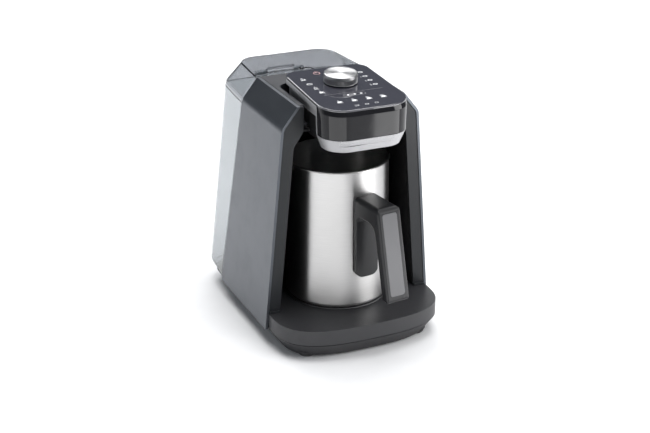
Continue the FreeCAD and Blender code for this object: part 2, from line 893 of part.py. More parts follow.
def panel_tray():
    """Black rim under the glass, with the ledge that the glass rests on."""
    skirt = loft([
        head_plan("glass", 0, -glass_thickness - rail_drop), head_plan("glass", 0, -glass_thickness)])
    skirt = skirt.cut(loft([
        head_plan("glass", head_skin + skin_gap, -glass_thickness - rail_drop - 1),
        head_plan("glass", head_skin + skin_gap, 1 - glass_thickness)]))
    skirt = skirt.cut(in_front_of(fascia_end_y + 0.3))
    top = head_plan("glass", head_skin + skin_gap, -glass_thickness)
    low = head_plan("glass", head_skin + skin_gap, -glass_thickness - ledge_drop)
    ledge = loft([low, top])
    window = loft([
        head_plan("glass", head_skin + ledge_width, -glass_thickness - ledge_drop - 4),
        head_plan("glass", head_skin + ledge_width, 1)])
    return skirt.fuse(ledge).cut(window).removeSplitter()


def head_chassis():
    """Inner box of the head; its floor is the ceiling over the pot."""
    inset = head_skin + skin_gap
    top_drop = -glass_thickness - ledge_drop - 0.3
    floor_lift = chassis_bottom_z - trim_bottom_z
    outer = loft([head_plan("trim", inset, floor_lift), head_plan("fascia", inset), ])
    outer = outer.fuse(loft([head_plan("fascia", inset), head_plan("glass", inset, top_drop)]))
    deep = inset + chassis_wall
    inner_low = floor_lift + chassis_floor
    inner = loft([head_plan("trim", deep, inner_low), head_plan("fascia", deep)])
    inner = inner.fuse(loft([head_plan("fascia", deep), head_plan("glass", deep, top_drop + 1)]))
    box = outer.cut(inner)
    nozzle_hole = disc(nozzle_radius + 0.2, 200, 215, nozzle_x, nozzle_y)
    sensor_hole = disc(nozzle_radius + 0.2, 200, 215, sensor_x, nozzle_y)
    hose_hole = Part.makeCylinder(hose_radius + 0.4, 30, V(nozzle_x, -10, hose_high_z), Y_AXIS)
    return box.cut(nozzle_hole).cut(sensor_hole).cut(hose_hole).removeSplitter()


def touch_board():
    inset = head_skin + ledge_width + 0.6
    low = -glass_thickness - board_thickness
    board = loft([head_plan("glass", inset, low), head_plan("glass", inset, -glass_thickness)])
    return board.cut(knob_place(disc(shaft_radius + 1.0, -10, 10)))


# Knob and encoder, built upright and laid on the panel

def knob_place(shape):
    """Moves a shape from knob coordinates to the sloping panel."""
    placed = shape.copy()
    placed.rotate(V(0, 0, 0), X_AXIS, math.degrees(math.atan(plate_slope)))
    placed.translate(V(0, knob_y, panel_z(knob_y)))
    return placed


def knob_cap():
    """Spun metal cap with a dished top and a fluted band."""
    top = knob_height
    points = [
        (knob_radius - knob_wall, knob_gap), (knob_radius, knob_gap),
        (knob_radius, top - 0.9), (knob_radius - 0.9, top), (knob_radius - 2.4, top),
        (knob_radius - 3.0, top - knob_dish), (0, top - knob_dish),
        (0, top - knob_top), (knob_radius - knob_wall, top - knob_top)]
    cap = turned(points)
    rim = []
    for index in range(flute_count):
        for share, radius in ((0.0, knob_radius + 1.0), (0.5, knob_radius - flute_depth)):
            angle = 2 * math.pi * (index + share) / flute_count
            rim.append((radius * math.cos(angle), radius * math.sin(angle)))
    star = slab(rim, plan_view(flute_low), V(0, 0, flute_high - flute_low))
    ring = disc(knob_radius + 3, flute_low, flute_high).cut(star)
    return knob_place(cap.cut(ring))


def knob_core():
    top = knob_height - knob_top
    core = turned([(0, knob_gap + 0.2), (knob_radius - knob_wall - 0.05, knob_gap + 0.2),
                   (knob_radius - knob_wall - 0.05, top - 0.05), (0, top - 0.05)])
    bore = d_shaft(shaft_radius + shaft_clearance, -1, top - 1.0)
    pocket = turned([(shaft_radius + 3, 0), (knob_radius - knob_wall - 2.5, 0),
                     (knob_radius - knob_wall - 2.5, top - 2), (shaft_radius + 3, top - 2)])
    return knob_place(core.cut(bore).cut(pocket))


def d_shaft(radius, low, high):
    """Round bar with one flat."""
    bar = disc(radius, low, high)
    flat = Part.makeBox(20, 20, high - low + 2, V(radius - shaft_flat, -10, low - 1))
    return bar.cut(flat)


def dial_shaft():
    low = -glass_thickness - board_thickness - encoder_depth + 1.8
    high = knob_height - knob_top - 1.1
    return knob_place(d_shaft(shaft_radius, low, high))


def encoder_top():
    return -glass_thickness - board_thickness


def encoder_body():
    top = encoder_top()
    box = Part.makeBox(
        2 * encoder_half, 2 * encoder_half, encoder_depth, V(-encoder_half, -encoder_half, top - encoder_depth))
    cavity = disc(rotor_radius + 0.3, top - 1.4 - rotor_height - 0.4, top - 1.4)
    bore = disc(shaft_radius + shaft_clearance, top - encoder_depth + 0.9, top + 1)
    return knob_place(box.cut(cavity).cut(bore))


def encoder_rotor():
    top = encoder_top() - 1.6
    rotor = disc(rotor_radius, top - rotor_height, top)
    return knob_place(rotor.cut(d_shaft(shaft_radius + shaft_clearance, top - rotor_height - 1, top + 1)))


# Water circuit and electrics

def pump_motor():
    z = pump_bottom_z + pump_head_height
    top = z + pump_motor_height
    points = [
        (0, z), (pump_radius - 1, z), (pump_radius - 1, z + 3), (pump_radius, z + 3),
        (pump_radius, top - 3, 1), (pump_radius - 3, top, 1), (0, top)]
    return turned(points, pump_x, pump_y)


def pump_head():
    """Diaphragm head under the motor, with an inlet below and an outlet at the side."""
    low = pump_bottom_z
    top = low + pump_head_height
    points = [
        (0, low), (pump_radius - 3, low, 1), (pump_radius - 3, low + 3), (pump_radius - 0.5, low + 3),
        (pump_radius - 0.5, top), (0, top)]
    head = turned(points, pump_x, pump_y)
    inlet = disc(2.0, low - 5, low + 1, pump_x, pump_y)
    outlet = Part.makeCylinder(
        2.0, 6, V(pump_x - pump_radius + 3, pump_y, low + pump_outlet_rise), V(-1, 0, 0))
    return head.fuse(inlet).fuse(outlet)


def pump_bracket():
    """Shelf on the rear wall with a rubber-lined hole for the pump."""
    z = pump_bottom_z - 3.0
    thickness = 2.0
    wall_y = parting_y(z) - rear_wall_thickness
    points = [
        (pump_x - 11, pump_y - 9, 6), (pump_x + 13, pump_y - 9, 6),
        (pump_x + 13, wall_y), (pump_x - 11, wall_y)]
    shelf = slab(points, plan_view(z - thickness), V(0, 0, thickness))
    hole = disc(5.5, z - 5, z + 5, pump_x, pump_y)
    lip_top = z + 14
    lip = slab(
        [(wall_y, z - thickness), (parting_y(lip_top) - rear_wall_thickness, lip_top),
         (parting_y(lip_top) - rear_wall_thickness - thickness, lip_top), (wall_y - thickness, z - thickness)],
        side_view(pump_x - 11), V(24, 0, 0))
    return shelf.fuse(lip).cut(hole).removeSplitter()


def pump_mount():
    z = pump_bottom_z - 3.0
    return turned([(3.2, z), (9.5, z), (9.5, pump_bottom_z), (3.2, pump_bottom_z)], pump_x, pump_y)


def suction_hose():
    start_y = outlet_y - dock_outer_radius
    points = [
        (outlet_x, start_y, dock_floor_z + 3.2), (outlet_x, start_y - 22, dock_floor_z + 3.2),
        (pump_x, pump_y, dock_floor_z + 3.2), (pump_x, pump_y, pump_bottom_z - 0.3)]
    return tube(points, hose_bend, hose_radius, hose_bore_radius)


def delivery_hose():
    """From the pump up the rear corner and over the bay to the nozzle."""
    low = pump_bottom_z + pump_outlet_rise
    points = [
        (pump_x - pump_radius, pump_y, low), (riser_x, pump_y, low),
        (riser_top_x, riser_top_y, hose_high_z), (nozzle_x, riser_top_y - 4, hose_high_z),
        (nozzle_x, nozzle_y, hose_high_z), (nozzle_x, nozzle_y, nozzle_top_z())]
    return tube(points, hose_bend, hose_radius, hose_bore_radius)


def nozzle_top_z():
    return chassis_bottom_z + chassis_floor + 6.0


def water_nozzle():
    floor = chassis_bottom_z + chassis_floor
    points = [
        (1.5, nozzle_tip_z), (2.6, nozzle_tip_z), (nozzle_radius - 1, nozzle_tip_z + 3),
        (nozzle_radius, chassis_bottom_z), (nozzle_radius, floor), (nozzle_radius + 2.5, floor),
        (nozzle_radius + 2.5, floor + 1.6), (hose_radius, floor + 1.6),
        (hose_radius, nozzle_top_z()), (1.5, nozzle_top_z())]
    return turned(points, nozzle_x, nozzle_y)


def foam_sensor():
    floor = chassis_bottom_z + chassis_floor
    points = [(0, floor), (7.0, floor), (7.0, floor + 1.5), (4.5, floor + 1.5), (4.5, floor + 9, 1), (0, floor + 9)]
    return turned(points, sensor_x, nozzle_y)


def sensor_window():
    floor = chassis_bottom_z + chassis_floor
    points = [(0, chassis_bottom_z - 0.6), (nozzle_radius - 1.4, chassis_bottom_z - 0.6, 0.5),
              (nozzle_radius, chassis_bottom_z + 0.6), (nozzle_radius, floor), (0, floor)]
    return turned(points, sensor_x, nozzle_y)


def buzzer():
    top = encoder_top()
    body = disc(6.0, top - 5.0, top, 24, 10)
    return knob_place(body)


def power_board():
    x, y = board_corner
    wide, deep = board_size
    return Part.makeBox(wide, deep, board_thickness, V(x, y, board_z))


def on_board(dx, dy):
    x, y = board_corner
    return x + dx, y + dy, board_z + board_thickness


def transformer():
    x, y, z = on_board(3, 4)
    core = Part.makeBox(24, 14, 5, V(x, y, z + 4))
    coil = Part.makeBox(16, 18, 12, V(x + 4, y - 2, z))
    return core.fuse(coil)


def relay():
    x, y, z = on_board(31, 5)
    body = Part.makeBox(16, 12, 11.5, V(x, y, z))
    return body.makeFillet(0.8, [edge for edge in body.Edges if edge.BoundBox.ZLength > 5])


def filter_capacitor():
    x, y, z = on_board(53, 11)
    return turned([(0, z), (4.0, z), (4.0, z + 12, 0.8), (0, z + 12)], x, y)


# Tank

def tank_plan(z, inset=0.0, tuck=0.0):
    """Tank outline at a height; tuck draws in the sides and rear only."""
    half = casing_half(z) - inset - tuck
    front = parting_y(z) + tank_gap + inset
    rear = tank_rear_y(z) - inset - tuck
    rear_half = half - tank_side_taper * (rear - front)
    rear_radius = tank_corner_radius - inset
    points = [
        (-half, front, tank_front_corner_radius), (half, front, tank_front_corner_radius),
        (rear_half, rear, rear_radius), (-rear_half, rear, rear_radius)]
    return outline(points, plan_view(z))


def shoulder_levels(low, high):
    """Heights for a loft that follows the rounded shoulder."""
    turn = bevel_angle - side_angle
    reach = shoulder_radius * math.tan(turn / 2)
    start = shoulder_z - reach * math.cos(side_angle)
    end = shoulder_z + reach * math.cos(bevel_angle)
    steps = 3
    middle = [between(start, end, step / steps) for step in range(steps + 1)]
    return [low] + [z for z in middle if low + 0.1 < z < high - 0.1] + [high]


def tank_loft(low, high, inset):
    levels = shoulder_levels(low, high)
    solid = None
    for lower, upper in zip(levels[:-1], levels[1:]):
        piece = loft([tank_plan(lower, inset), tank_plan(upper, inset)])
        solid = piece if solid is None else solid.fuse(piece)
    return solid


def hinge_axis():
    y = tank_rear_y(lid_parting_z) + hinge_offset_y
    return y, lid_parting_z + hinge_offset_z


def tank_body():
    """Clear tank, open at the top, with the outlet hole and hinge lugs."""
    outer = tank_loft(tank_bottom_z + tank_bottom_radius, lid_parting_z, 0.0)
    rounding = bottom_rounding()
    for (low_z, low_tuck), (high_z, high_tuck) in zip(rounding[:-1], rounding[1:]):
        outer = outer.fuse(loft([tank_plan(low_z, 0, low_tuck), tank_plan(high_z, 0, high_tuck)]))
    bend_z = tank_bottom_z + tank_bottom_radius
    inner = loft([tank_plan(tank_bottom_z + tank_wall, tank_wall, tank_bottom_radius - tank_wall),
                  tank_plan(bend_z, tank_wall)])
    inner = inner.fuse(loft([tank_plan(bend_z, tank_wall), tank_plan(lid_parting_z, tank_wall)]))
    tank = outer.cut(inner)
    tank = tank.cut(disc(spigot_radius + 0.1, tank_bottom_z - 5, tank_bottom_z + 5, outlet_x, outlet_y))
    y, z = hinge_axis()
    for side in (-1, 1):
        low_x = side * (hinge_half_length + hinge_centre_half) / 2
        width = hinge_half_length - hinge_centre_half - 0.4
        barrel = Part.makeCylinder(hinge_radius, width, V(low_x - width / 2, y, z), X_AXIS)
        foot_points = [
            (y + hinge_radius, z), (y + hinge_radius, z - 2), (y - hinge_offset_y - 1.0, z - 10),
            (y - hinge_offset_y - 1.0, z - hinge_offset_z - 0.2), (y, z - hinge_offset_z - 0.2), (y, z)]
        web = slab(foot_points, side_view(low_x - width / 2), V(width, 0, 0))
        bore = Part.makeCylinder(
            hinge_pin_radius + hinge_pin_clearance, width + 2, V(low_x - width / 2 - 1, y, z), X_AXIS)
        tank = tank.fuse(barrel.fuse(web)).cut(bore)
    tank = tank.cut(inner)
    return tank.removeSplitter()


def bottom_rounding():
    """Heights and tucks that follow the rounded bottom edge of the tank."""
    steps = 3
    angles = [math.pi / 2 * step / steps for step in range(steps + 1)]
    return [(tank_bottom_z + tank_bottom_radius * (1 - math.cos(angle)),
             tank_bottom_radius * (1 - math.sin(angle))) for angle in angles]


def tank_lid():
    """Cap over the tank with bevelled sides, a finger notch and a hinge barrel."""
    low = lid_parting_z + lid_gap
    outer = tank_loft(low, casing_top_z, 0.0)
    inner = tank_loft(low, casing_top_z - lid_wall, lid_wall)
    lid = outer.cut(inner)
    notch_front = parting_y(casing_top_z) + tank_gap
    notch = slab(
        [(-lid_notch_width / 2, notch_front - 2), (lid_notch_width / 2, notch_front - 2),
         (lid_notch_width / 2, notch_front + lid_notch_depth, 3),
         (-lid_notch_width / 2, notch_front + lid_notch_depth, 3)],
        plan_view(casing_top_z - lid_notch_drop), V(0, 0, 5))
    lid = lid.cut(notch)
    y, z = hinge_axis()
    width = 2 * hinge_centre_half - 0.4
    barrel = Part.makeCylinder(hinge_radius, width, V(-width / 2, y, z), X_AXIS)
    arm = slab(
        [(y - hinge_offset_y - 1.2, low + 0.2), (y, low + 0.2), (y + hinge_radius - 0.6, z),
         (y + 1.0, z + hinge_radius), (y - hinge_offset_y - 1.6, z + hinge_radius + 4)],
        side_view(-width / 2), V(width, 0, 0))
    bore = Part.makeCylinder(
        hinge_pin_radius, width + 2, V(-width / 2 - 1, y, z), X_AXIS)
    lid = lid.fuse(barrel.fuse(arm)).cut(bore)
    for side in (-1, 1):
        middle = side * (hinge_half_length + hinge_centre_half) / 2
        gap = hinge_half_length - hinge_centre_half
        relief = Part.makeCylinder(hinge_radius + 0.5, gap, V(middle - gap / 2, y, z), X_AXIS)
        lid = lid.cut(relief)
    return lid.cut(tank_loft(low, casing_top_z - lid_wall, lid_wall)).removeSplitter()


def lid_pin():
    y, z = hinge_axis()
    length = 2 * hinge_half_length - 1.0
    return Part.makeCylinder(hinge_pin_radius, length, V(-length / 2, y, z), X_AXIS)


def valve_housing():
    """Outlet insert: flange on the tank floor and a spigot into the dock."""
    floor = tank_bottom_z + tank_wall
    top = floor + valve_flange_thickness
    points = [
        (valve_bore_radius, spigot_bottom_z), (spigot_radius, spigot_bottom_z),
        (spigot_radius, floor), (valve_flange_radius, floor), (valve_flange_radius, top),
        (valve_chamber_radius, top), (valve_chamber_radius, valve_seat_z),
        (valve_bore_radius, valve_seat_z)]
    return turned(points, outlet_x, outlet_y)


def plunger_heights():
    seal_low = valve_seat_z + plunger_lift
    head_low = seal_low + seal_thickness
    return seal_low, head_low, head_low + plunger_head_thickness


def valve_plunger():
    head_low, head_top = plunger_heights()[1:]
    points = [
        (0, dock_pin_top()), (plunger_stem_radius, dock_pin_top()), (plunger_stem_radius, head_low),
        (plunger_head_radius, head_low), (plunger_head_radius, head_top), (2.6, head_top),
        (2.6, head_top + 4), (0, head_top + 4)]
    return turned(points, outlet_x, outlet_y)


def valve_seal():
    seal_low, head_low = plunger_heights()[:2]
    return turned([
        (plunger_stem_radius, seal_low), (plunger_head_radius - 0.4, seal_low),
        (plunger_head_radius - 0.4, head_low), (plunger_stem_radius, head_low)], outlet_x, outlet_y)


def dock_pin_top():
    return spigot_bottom_z + 1.5


def valve_spring():
    """Coil spring between the plunger and the strainer's roof."""
    head_top = plunger_heights()[2]
    low = head_top + spring_wire_radius
    rise = spring_length - 2 * spring_wire_radius
    quarters = 4 * spring_turns

    def on_helix(share):
        angle = 2 * math.pi * spring_turns * share
        return V(outlet_x + spring_coil_radius * math.cos(angle),
                 outlet_y + spring_coil_radius * math.sin(angle), low + rise * share)

    arcs = []
    for index in range(quarters // 2):
        step = 2.0 / quarters
        start = index * step
        arcs.append(Part.Arc(on_helix(start), on_helix(start + step / 2), on_helix(start + step)).toShape())
    path = Part.Wire(arcs)
    ring = Part.Wire(Part.makeCircle(spring_wire_radius, on_helix(0), arcs[0].tangentAt(arcs[0].FirstParameter)))
    return path.makePipeShell([ring], True, False)


def strainer():
    """Slotted cup over the valve that also holds the spring."""
    low = tank_bottom_z + tank_wall + valve_flange_thickness
    roof = plunger_heights()[2] + spring_length
    points = [
        (strainer_radius - strainer_wall, low), (strainer_radius + 2, low), (strainer_radius + 2, low + 1.2),
        (strainer_radius, low + 1.2), (strainer_radius, roof + 1.2), (0, roof + 1.2), (0, roof),
        (strainer_radius - strainer_wall, roof)]
    cup = turned(points, outlet_x, outlet_y)
    for index in range(strainer_slots):
        slot = Part.makeBox(strainer_radius + 3, 2.2, roof - low - 4, V(0, -1.1, low + 2.4))
        slot.rotate(V(0, 0, 0), Z_AXIS, 360.0 * index / strainer_slots)
        slot.translate(V(outlet_x, outlet_y, 0))
        cup = cup.cut(slot)
    return cup


def dock_socket():
    """Cup in the base that takes the tank's spigot; its pin opens the valve."""
    top = pan_top_z
    points = [
        (0, dock_floor_z - 0.5), (dock_outer_radius, dock_floor_z - 0.5), (dock_outer_radius, top),
        (dock_bore_radius, top), (dock_bore_radius, dock_floor_z + 1.5), (dock_pin_radius, dock_floor_z + 1.5),
        (dock_pin_radius, dock_pin_top()), (0, dock_pin_top())]
    socket = turned(points, outlet_x, outlet_y)
    groove_z = dock_seal_z()
    groove = turned([
        (dock_bore_radius - 1, groove_z - 1.0), (dock_bore_radius + 0.9, groove_z - 1.0),
        (dock_bore_radius + 0.9, groove_z + 1.0), (dock_bore_radius - 1, groove_z + 1.0)], outlet_x, outlet_y)
    return socket.cut(groove)


def dock_seal_z():
    return between(spigot_bottom_z, pan_top_z, 0.6)


def dock_seal():
    inner = spigot_radius + seal_clearance
    outer = dock_bore_radius + 0.8
    z = dock_seal_z()
    half = 0.8
    return turned([(inner, z - 0.3, 0.2), (outer - 1.0, z - half), (outer, z - half), (outer, z + half),
                   (outer - 1.0, z + half), (inner, z + 0.3, 0.2)], outlet_x, outlet_y)


# Pot, built with its handle towards -Y and then turned

def pot_place(shape):
    placed = shape.copy()
    placed.rotate(V(0, 0, 0), Z_AXIS, pot_turn)
    placed.translate(V(0, pot_y, 0))
    return placed


def pot_foot_z():
    return deck_top_z + plate_rise


def spout_solid(inset):
    """Tapered beak towards -X that opens at the rim."""
    tip = pot_rim_radius + spout_reach - inset * 1.6
    half = spout_half_width - inset
    low_z = pot_rim_z - spout_depth + inset * 3
    root = pot_rim_radius - 12
    high = outline([(-root, -half - 2), (-tip, 0, 6 - inset), (-root, half + 2)], plan_view(pot_rim_z))
    low = outline([(-root, -2.0), (-pot_rim_radius + 0.6 + inset, 0, 1.0), (-root, 2.0)], plan_view(low_z))
    return loft([low, high])


def pot_body():
    """Deep-drawn steel pot with a beaded rim and a poured spout."""
    foot = pot_foot_z() + pot_base_thickness
    outer = turned([(0, foot), (pot_bottom_radius, foot, pot_corner_radius),
                    (pot_rim_radius, pot_rim_z), (0, pot_rim_z)])
    inner_top = pot_rim_radius - pot_wall
    inner = turned([(0, foot + pot_wall), (pot_bottom_radius - pot_wall, foot + pot_wall, pot_corner_radius - 1),
                    (inner_top, pot_rim_z + 1), (0, pot_rim_z + 1)])
    bead = turned([(inner_top, pot_rim_z - 1.6), (pot_rim_radius, pot_rim_z - 1.6),
                   (pot_rim_radius + rim_bead, pot_rim_z - 0.8, 0.5), (pot_rim_radius + rim_bead, pot_rim_z, 0.5),
                   (inner_top, pot_rim_z)])
    pot = outer.fuse(bead).fuse(spout_solid(0.0)).cut(inner).cut(spout_solid(pot_wall))
    return pot_place(pot.removeSplitter())


def pot_base():
    z = pot_foot_z()
    radius = pot_bottom_radius - pot_corner_radius
    return pot_place(turned([(0, z), (radius, z, 0.8), (radius, z + pot_base_thickness), (0, z + pot_base_thickness)]))


def handle_profile():
    """Side view of the handle: root plate, arm and the grip that leans outward."""
    root_outer = root_reach + root_thickness
    lean = (grip_bottom_reach - grip_top_reach) / (handle_top_z - grip_bottom_z)
    inner_top = grip_top_reach + lean * (handle_top_z - arm_under_z) - grip_thickness
    inner_bottom = grip_bottom_reach - grip_thickness
    return [
        (root_reach - 2, handle_top_z), (grip_top_reach, handle_top_z, 6),
        (grip_bottom_reach, grip_bottom_z, 3.5), (inner_bottom, grip_bottom_z + 1.0, 3.5),
        (inner_top, arm_under_z, 12), (root_outer, arm_under_z - 1, 5),
        (root_outer, root_bottom_z), (root_reach - 2, root_bottom_z)]


def handle_body():
    """Moulded handle with a pocket for the bracket and one for the inlay."""
    points = [(-reach, z, *more) for reach, z, *more in handle_profile()]
    body = slab(points, side_view(-grip_half_width), V(2 * grip_half_width, 0, 0))
    edges = [edge for edge in body.Edges if is_side_edge(edge)]
    body = body.makeFillet(handle_edge_radius, edges)
    end_view = [
        (-grip_half_width, grip_bottom_z, grip_corner_radius), (grip_half_width, grip_bottom_z, grip_corner_radius),
        (grip_half_width, handle_top_z, grip_corner_radius), (-grip_half_width, handle_top_z, grip_corner_radius)]
    body = body.common(slab(end_view, front_view(-150), V(0, 120, 0)))
    root_outer = root_reach + root_thickness
    root_zone = Part.makeBox(60, 40, arm_under_z - 6, V(-30, -root_outer - 0.01, 0))
    body = body.cut(root_zone.cut(disc(root_outer, -1, arm_under_z)))
    face_region = [
        (-root_half_width, root_bottom_z, 8), (root_half_width, root_bottom_z, 8),
        (root_half_width, handle_top_z + 2), (-root_half_width, handle_top_z + 2)]
    low_region = slab(face_region, front_view(-90), V(0, 60, 0))
    outer_zone = Part.makeBox(60, 70, 140, V(-30, -root_outer - 70, 30))
    body = body.common(low_region.fuse(outer_zone))
    body = body.cut(disc(root_reach, 0, 200))
    pocket = disc(root_reach + bracket_thickness + 0.05, bracket_bottom_z - 0.2, bracket_top_z + 0.2).common(
        Part.makeBox(2 * bracket_half_width + 0.4, 100, 200, V(-bracket_half_width - 0.2, -100, 0)))
    body = body.cut(pocket).cut(inlay_solid(0.1))
    for z, length in handle_screw_places():
        body = body.cut(Part.makeCylinder(screw_radius, length, V(0, -root_reach, z), V(0, -1, 0)))
    return pot_place(body.removeSplitter())


def is_side_edge(edge):
    """True for an edge in one of the handle's flat sides, away from the pot."""
    box = edge.BoundBox
    in_side = box.XLength < 0.01
    return in_side and box.YMin < -root_reach - root_thickness + 0.1 and edge.Length > 1


def handle_screw_places():
    """Height and depth of the two screws: a short one low, a long one in the arm."""
    return ((bracket_bottom_z + 12.0, root_thickness - 1.0), (bracket_top_z - 3.0, 11.0))


def inlay_solid(clearance):
    """Raised strip set in the outer face of the grip."""
    lean = (grip_bottom_reach - grip_top_reach) / (handle_top_z - grip_bottom_z)
    half = inlay_half_width + clearance
    low = grip_bottom_z + inlay_low_margin - clearance
    high = handle_top_z - inlay_top_margin + clearance

    def reach_at(z):
        return grip_top_reach + lean * (handle_top_z - z)

    points = [(-half, low, 2.5), (half, low, 2.5), (half, high, 2.5), (-half, high, 2.5)]
    region = slab(points, front_view(-130), V(0, 60, 0))
    depth = inlay_depth + clearance
    strip = slab(
        [(-reach_at(20.0), 20.0), (-reach_at(170.0), 170.0), (-reach_at(170.0) + depth, 170.0),
         (-reach_at(20.0) + depth, 20.0)], side_view(-30), V(60, 0, 0))
    return region.common(strip)


def grip_inlay():
    return pot_place(inlay_solid(0.0))


def handle_bracket():
    """Curved steel plate welded to the pot; the handle is screwed to it."""
    gap = 0.3
    ring = disc(root_reach + bracket_thickness, bracket_bottom_z, bracket_top_z).cut(
        disc(pot_bottom_radius + gap, bracket_bottom_z - 1, bracket_top_z + 1))
    strip = Part.makeBox(2 * bracket_half_width, 100, 200, V(-bracket_half_width, -100, 0))
    bracket = ring.common(strip)
    for z in [place[0] for place in handle_screw_places()]:
        bracket = bracket.cut(Part.makeCylinder(screw_radius + 0.1, 30, V(0, -40, z), V(0, -1, 0)))
    return pot_place(bracket)


def handle_screws():
    screws = []
    inner_reach = pot_bottom_radius + 0.4
    for z, length in handle_screw_places():
        bar = Part.makeCylinder(
            screw_radius - 0.05, root_reach - inner_reach + length - 0.2, V(0, -inner_reach, z), V(0, -1, 0))
        screws.append(pot_place(bar))
    return Part.makeCompound(screws)


NODES = {
    "base_pan": base_pan,
    "rubber_feet": rubber_feet,
    "base_screws": base_screws,
    "base_deck": base_deck,
    "heater_plate": heater_plate,
    "heating_element": heating_element,
    "heat_shield": heat_shield,
    "temperature_sensor": temperature_sensor,
    "thermal_fuse": thermal_fuse,
    "tank_platform": tank_platform,
    "dock_socket": dock_socket,
    "dock_seal": dock_seal,
    "cord_gland": cord_gland,
    "right_side_shell": side_shell,
    "left_side_shell": lambda: mirrored(side_shell()),
    "right_column": column,
    "left_column": lambda: mirrored(column()),
    "bay_liner": bay_liner,
    "rear_wall": rear_wall,
    "shell_screws": shell_screws,
    "top_cover": top_cover,
    "head_chassis": head_chassis,
    "head_fascia": head_fascia,
    "head_frame": head_frame,
    "panel_tray": panel_tray,
    "control_plate": control_plate,
    "touch_board": touch_board,
    "encoder_body": encoder_body,
    "encoder_rotor": encoder_rotor,
    "dial_shaft": dial_shaft,
    "knob_core": knob_core,
    "knob_cap": knob_cap,
    "buzzer": buzzer,
    "water_nozzle": water_nozzle,
    "foam_sensor": foam_sensor,
    "sensor_window": sensor_window,
    "pump_bracket": pump_bracket,
    "pump_mount": pump_mount,
    "pump_head": pump_head,
    "pump_motor": pump_motor,
    "suction_hose": suction_hose,
    "delivery_hose": delivery_hose,
    "power_board": power_board,
    "transformer": transformer,
    "relay": relay,
    "filter_capacitor": filter_capacitor,
    "tank_body": tank_body,
    "valve_housing": valve_housing,
    "valve_plunger": valve_plunger,
    "valve_seal": valve_seal,
    "valve_spring": valve_spring,
    "strainer": strainer,
    "tank_lid": tank_lid,
    "lid_pin": lid_pin,
    "pot_body": pot_body,
    "pot_base": pot_base,
    "handle_bracket": handle_bracket,
    "handle_screws": handle_screws,
    "pot_handle": handle_body,
    "grip_inlay": grip_inlay,
}


def main():
    os.makedirs("parts", exist_ok=True)
    shapes = {name: build() for name, build in NODES.items()}
    whole = FreeCAD.BoundBox()
    for shape in shapes.values():
        whole.add(shape.optimalBoundingBox(False, False))
    shift = V(-(whole.XMin + whole.XMax) / 2, -(whole.YMin + whole.YMax) / 2, -whole.ZMin)
    shift.x = 0.0
    print("shift", shift, "box", whole)
    for name, shape in shapes.items():
        shape.translate(shift)
        shape.exportStep("parts/" + name + ".step")
        solids = len(shape.Solids)
        print(name, "solids", solids, "valid", shape.isValid(), "volume", round(shape.Volume, 1))


main()
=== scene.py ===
import json
import math

import bmesh
import bpy
from bpy.props import FloatProperty, FloatVectorProperty, IntProperty, PointerProperty
from mathutils import Matrix, Vector
from mathutils.bvhtree import BVHTree


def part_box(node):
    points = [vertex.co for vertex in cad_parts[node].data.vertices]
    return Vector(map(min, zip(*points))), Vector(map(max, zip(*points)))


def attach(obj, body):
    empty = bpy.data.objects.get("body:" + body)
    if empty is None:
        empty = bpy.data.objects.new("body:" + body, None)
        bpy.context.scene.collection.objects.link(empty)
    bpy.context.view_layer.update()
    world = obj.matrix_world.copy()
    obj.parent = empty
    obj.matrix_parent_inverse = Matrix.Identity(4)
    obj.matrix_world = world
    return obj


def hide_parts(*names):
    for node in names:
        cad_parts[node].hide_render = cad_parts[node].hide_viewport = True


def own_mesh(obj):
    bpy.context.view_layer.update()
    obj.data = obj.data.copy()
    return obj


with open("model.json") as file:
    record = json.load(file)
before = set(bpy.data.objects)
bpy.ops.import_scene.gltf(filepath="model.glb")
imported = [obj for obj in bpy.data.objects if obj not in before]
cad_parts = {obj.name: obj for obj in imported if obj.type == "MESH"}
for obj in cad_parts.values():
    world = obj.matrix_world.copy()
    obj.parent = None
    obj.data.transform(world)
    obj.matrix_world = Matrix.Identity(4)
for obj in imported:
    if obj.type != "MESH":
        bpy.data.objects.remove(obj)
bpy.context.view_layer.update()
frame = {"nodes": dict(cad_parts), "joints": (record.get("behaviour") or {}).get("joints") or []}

bl_info = {
    "name": "Coffee Maker Dressing",
    "version": (1, 0, 0),
    "blender": (4, 5, 0),
    "location": "3D View > Sidebar > Coffee Maker",
    "description": "Finishes, dial, panel marks and studio for the electric coffee maker",
    "category": "Object",
}

NODES = frame["nodes"]
MM = 0.001  # metres in a millimetre
PANEL = "control_plate"  # carries the printed marks

# Linear colours of the finishes that no setting covers
WHITE = (1.0, 1.0, 1.0)
COVER_BLACK = (0.019, 0.020, 0.025)
FOOT_BLACK = (0.028, 0.028, 0.028)
CORE_BLACK = (0.05, 0.05, 0.05)
SEAL_BLACK = (0.05, 0.05, 0.05)
FITTING_BLACK = (0.03, 0.03, 0.032)
WINDOW_BLACK = (0.02, 0.01, 0.02)
FITTING_WHITE = (0.70, 0.70, 0.68)
HEATER_GREY = (0.12, 0.12, 0.125)
BRACKET_STEEL = (0.55, 0.55, 0.56)
GAUZE_STEEL = (0.60, 0.60, 0.60)
SPRING_STEEL = (0.62, 0.62, 0.63)
SCREW_STEEL = (0.50, 0.50, 0.51)
MOTOR_ZINC = (0.56, 0.56, 0.57)
ELEMENT_TINT = (0.42, 0.36, 0.30)
SHIELD_ALUMINIUM = (0.70, 0.70, 0.71)
SENSOR_CERAMIC = (0.62, 0.60, 0.55)
SPUN_DARK, SPUN_LIGHT, SPUN_CLOUD = (0.30, 0.30, 0.305), (0.50, 0.50, 0.505), (0.42, 0.42, 0.43)
SILICONE_DARK, SILICONE_LIGHT = (0.70, 0.69, 0.66), (0.80, 0.80, 0.77)
BOARD_GREEN, PAD_TIN = (0.02, 0.10, 0.05), (0.62, 0.55, 0.38)
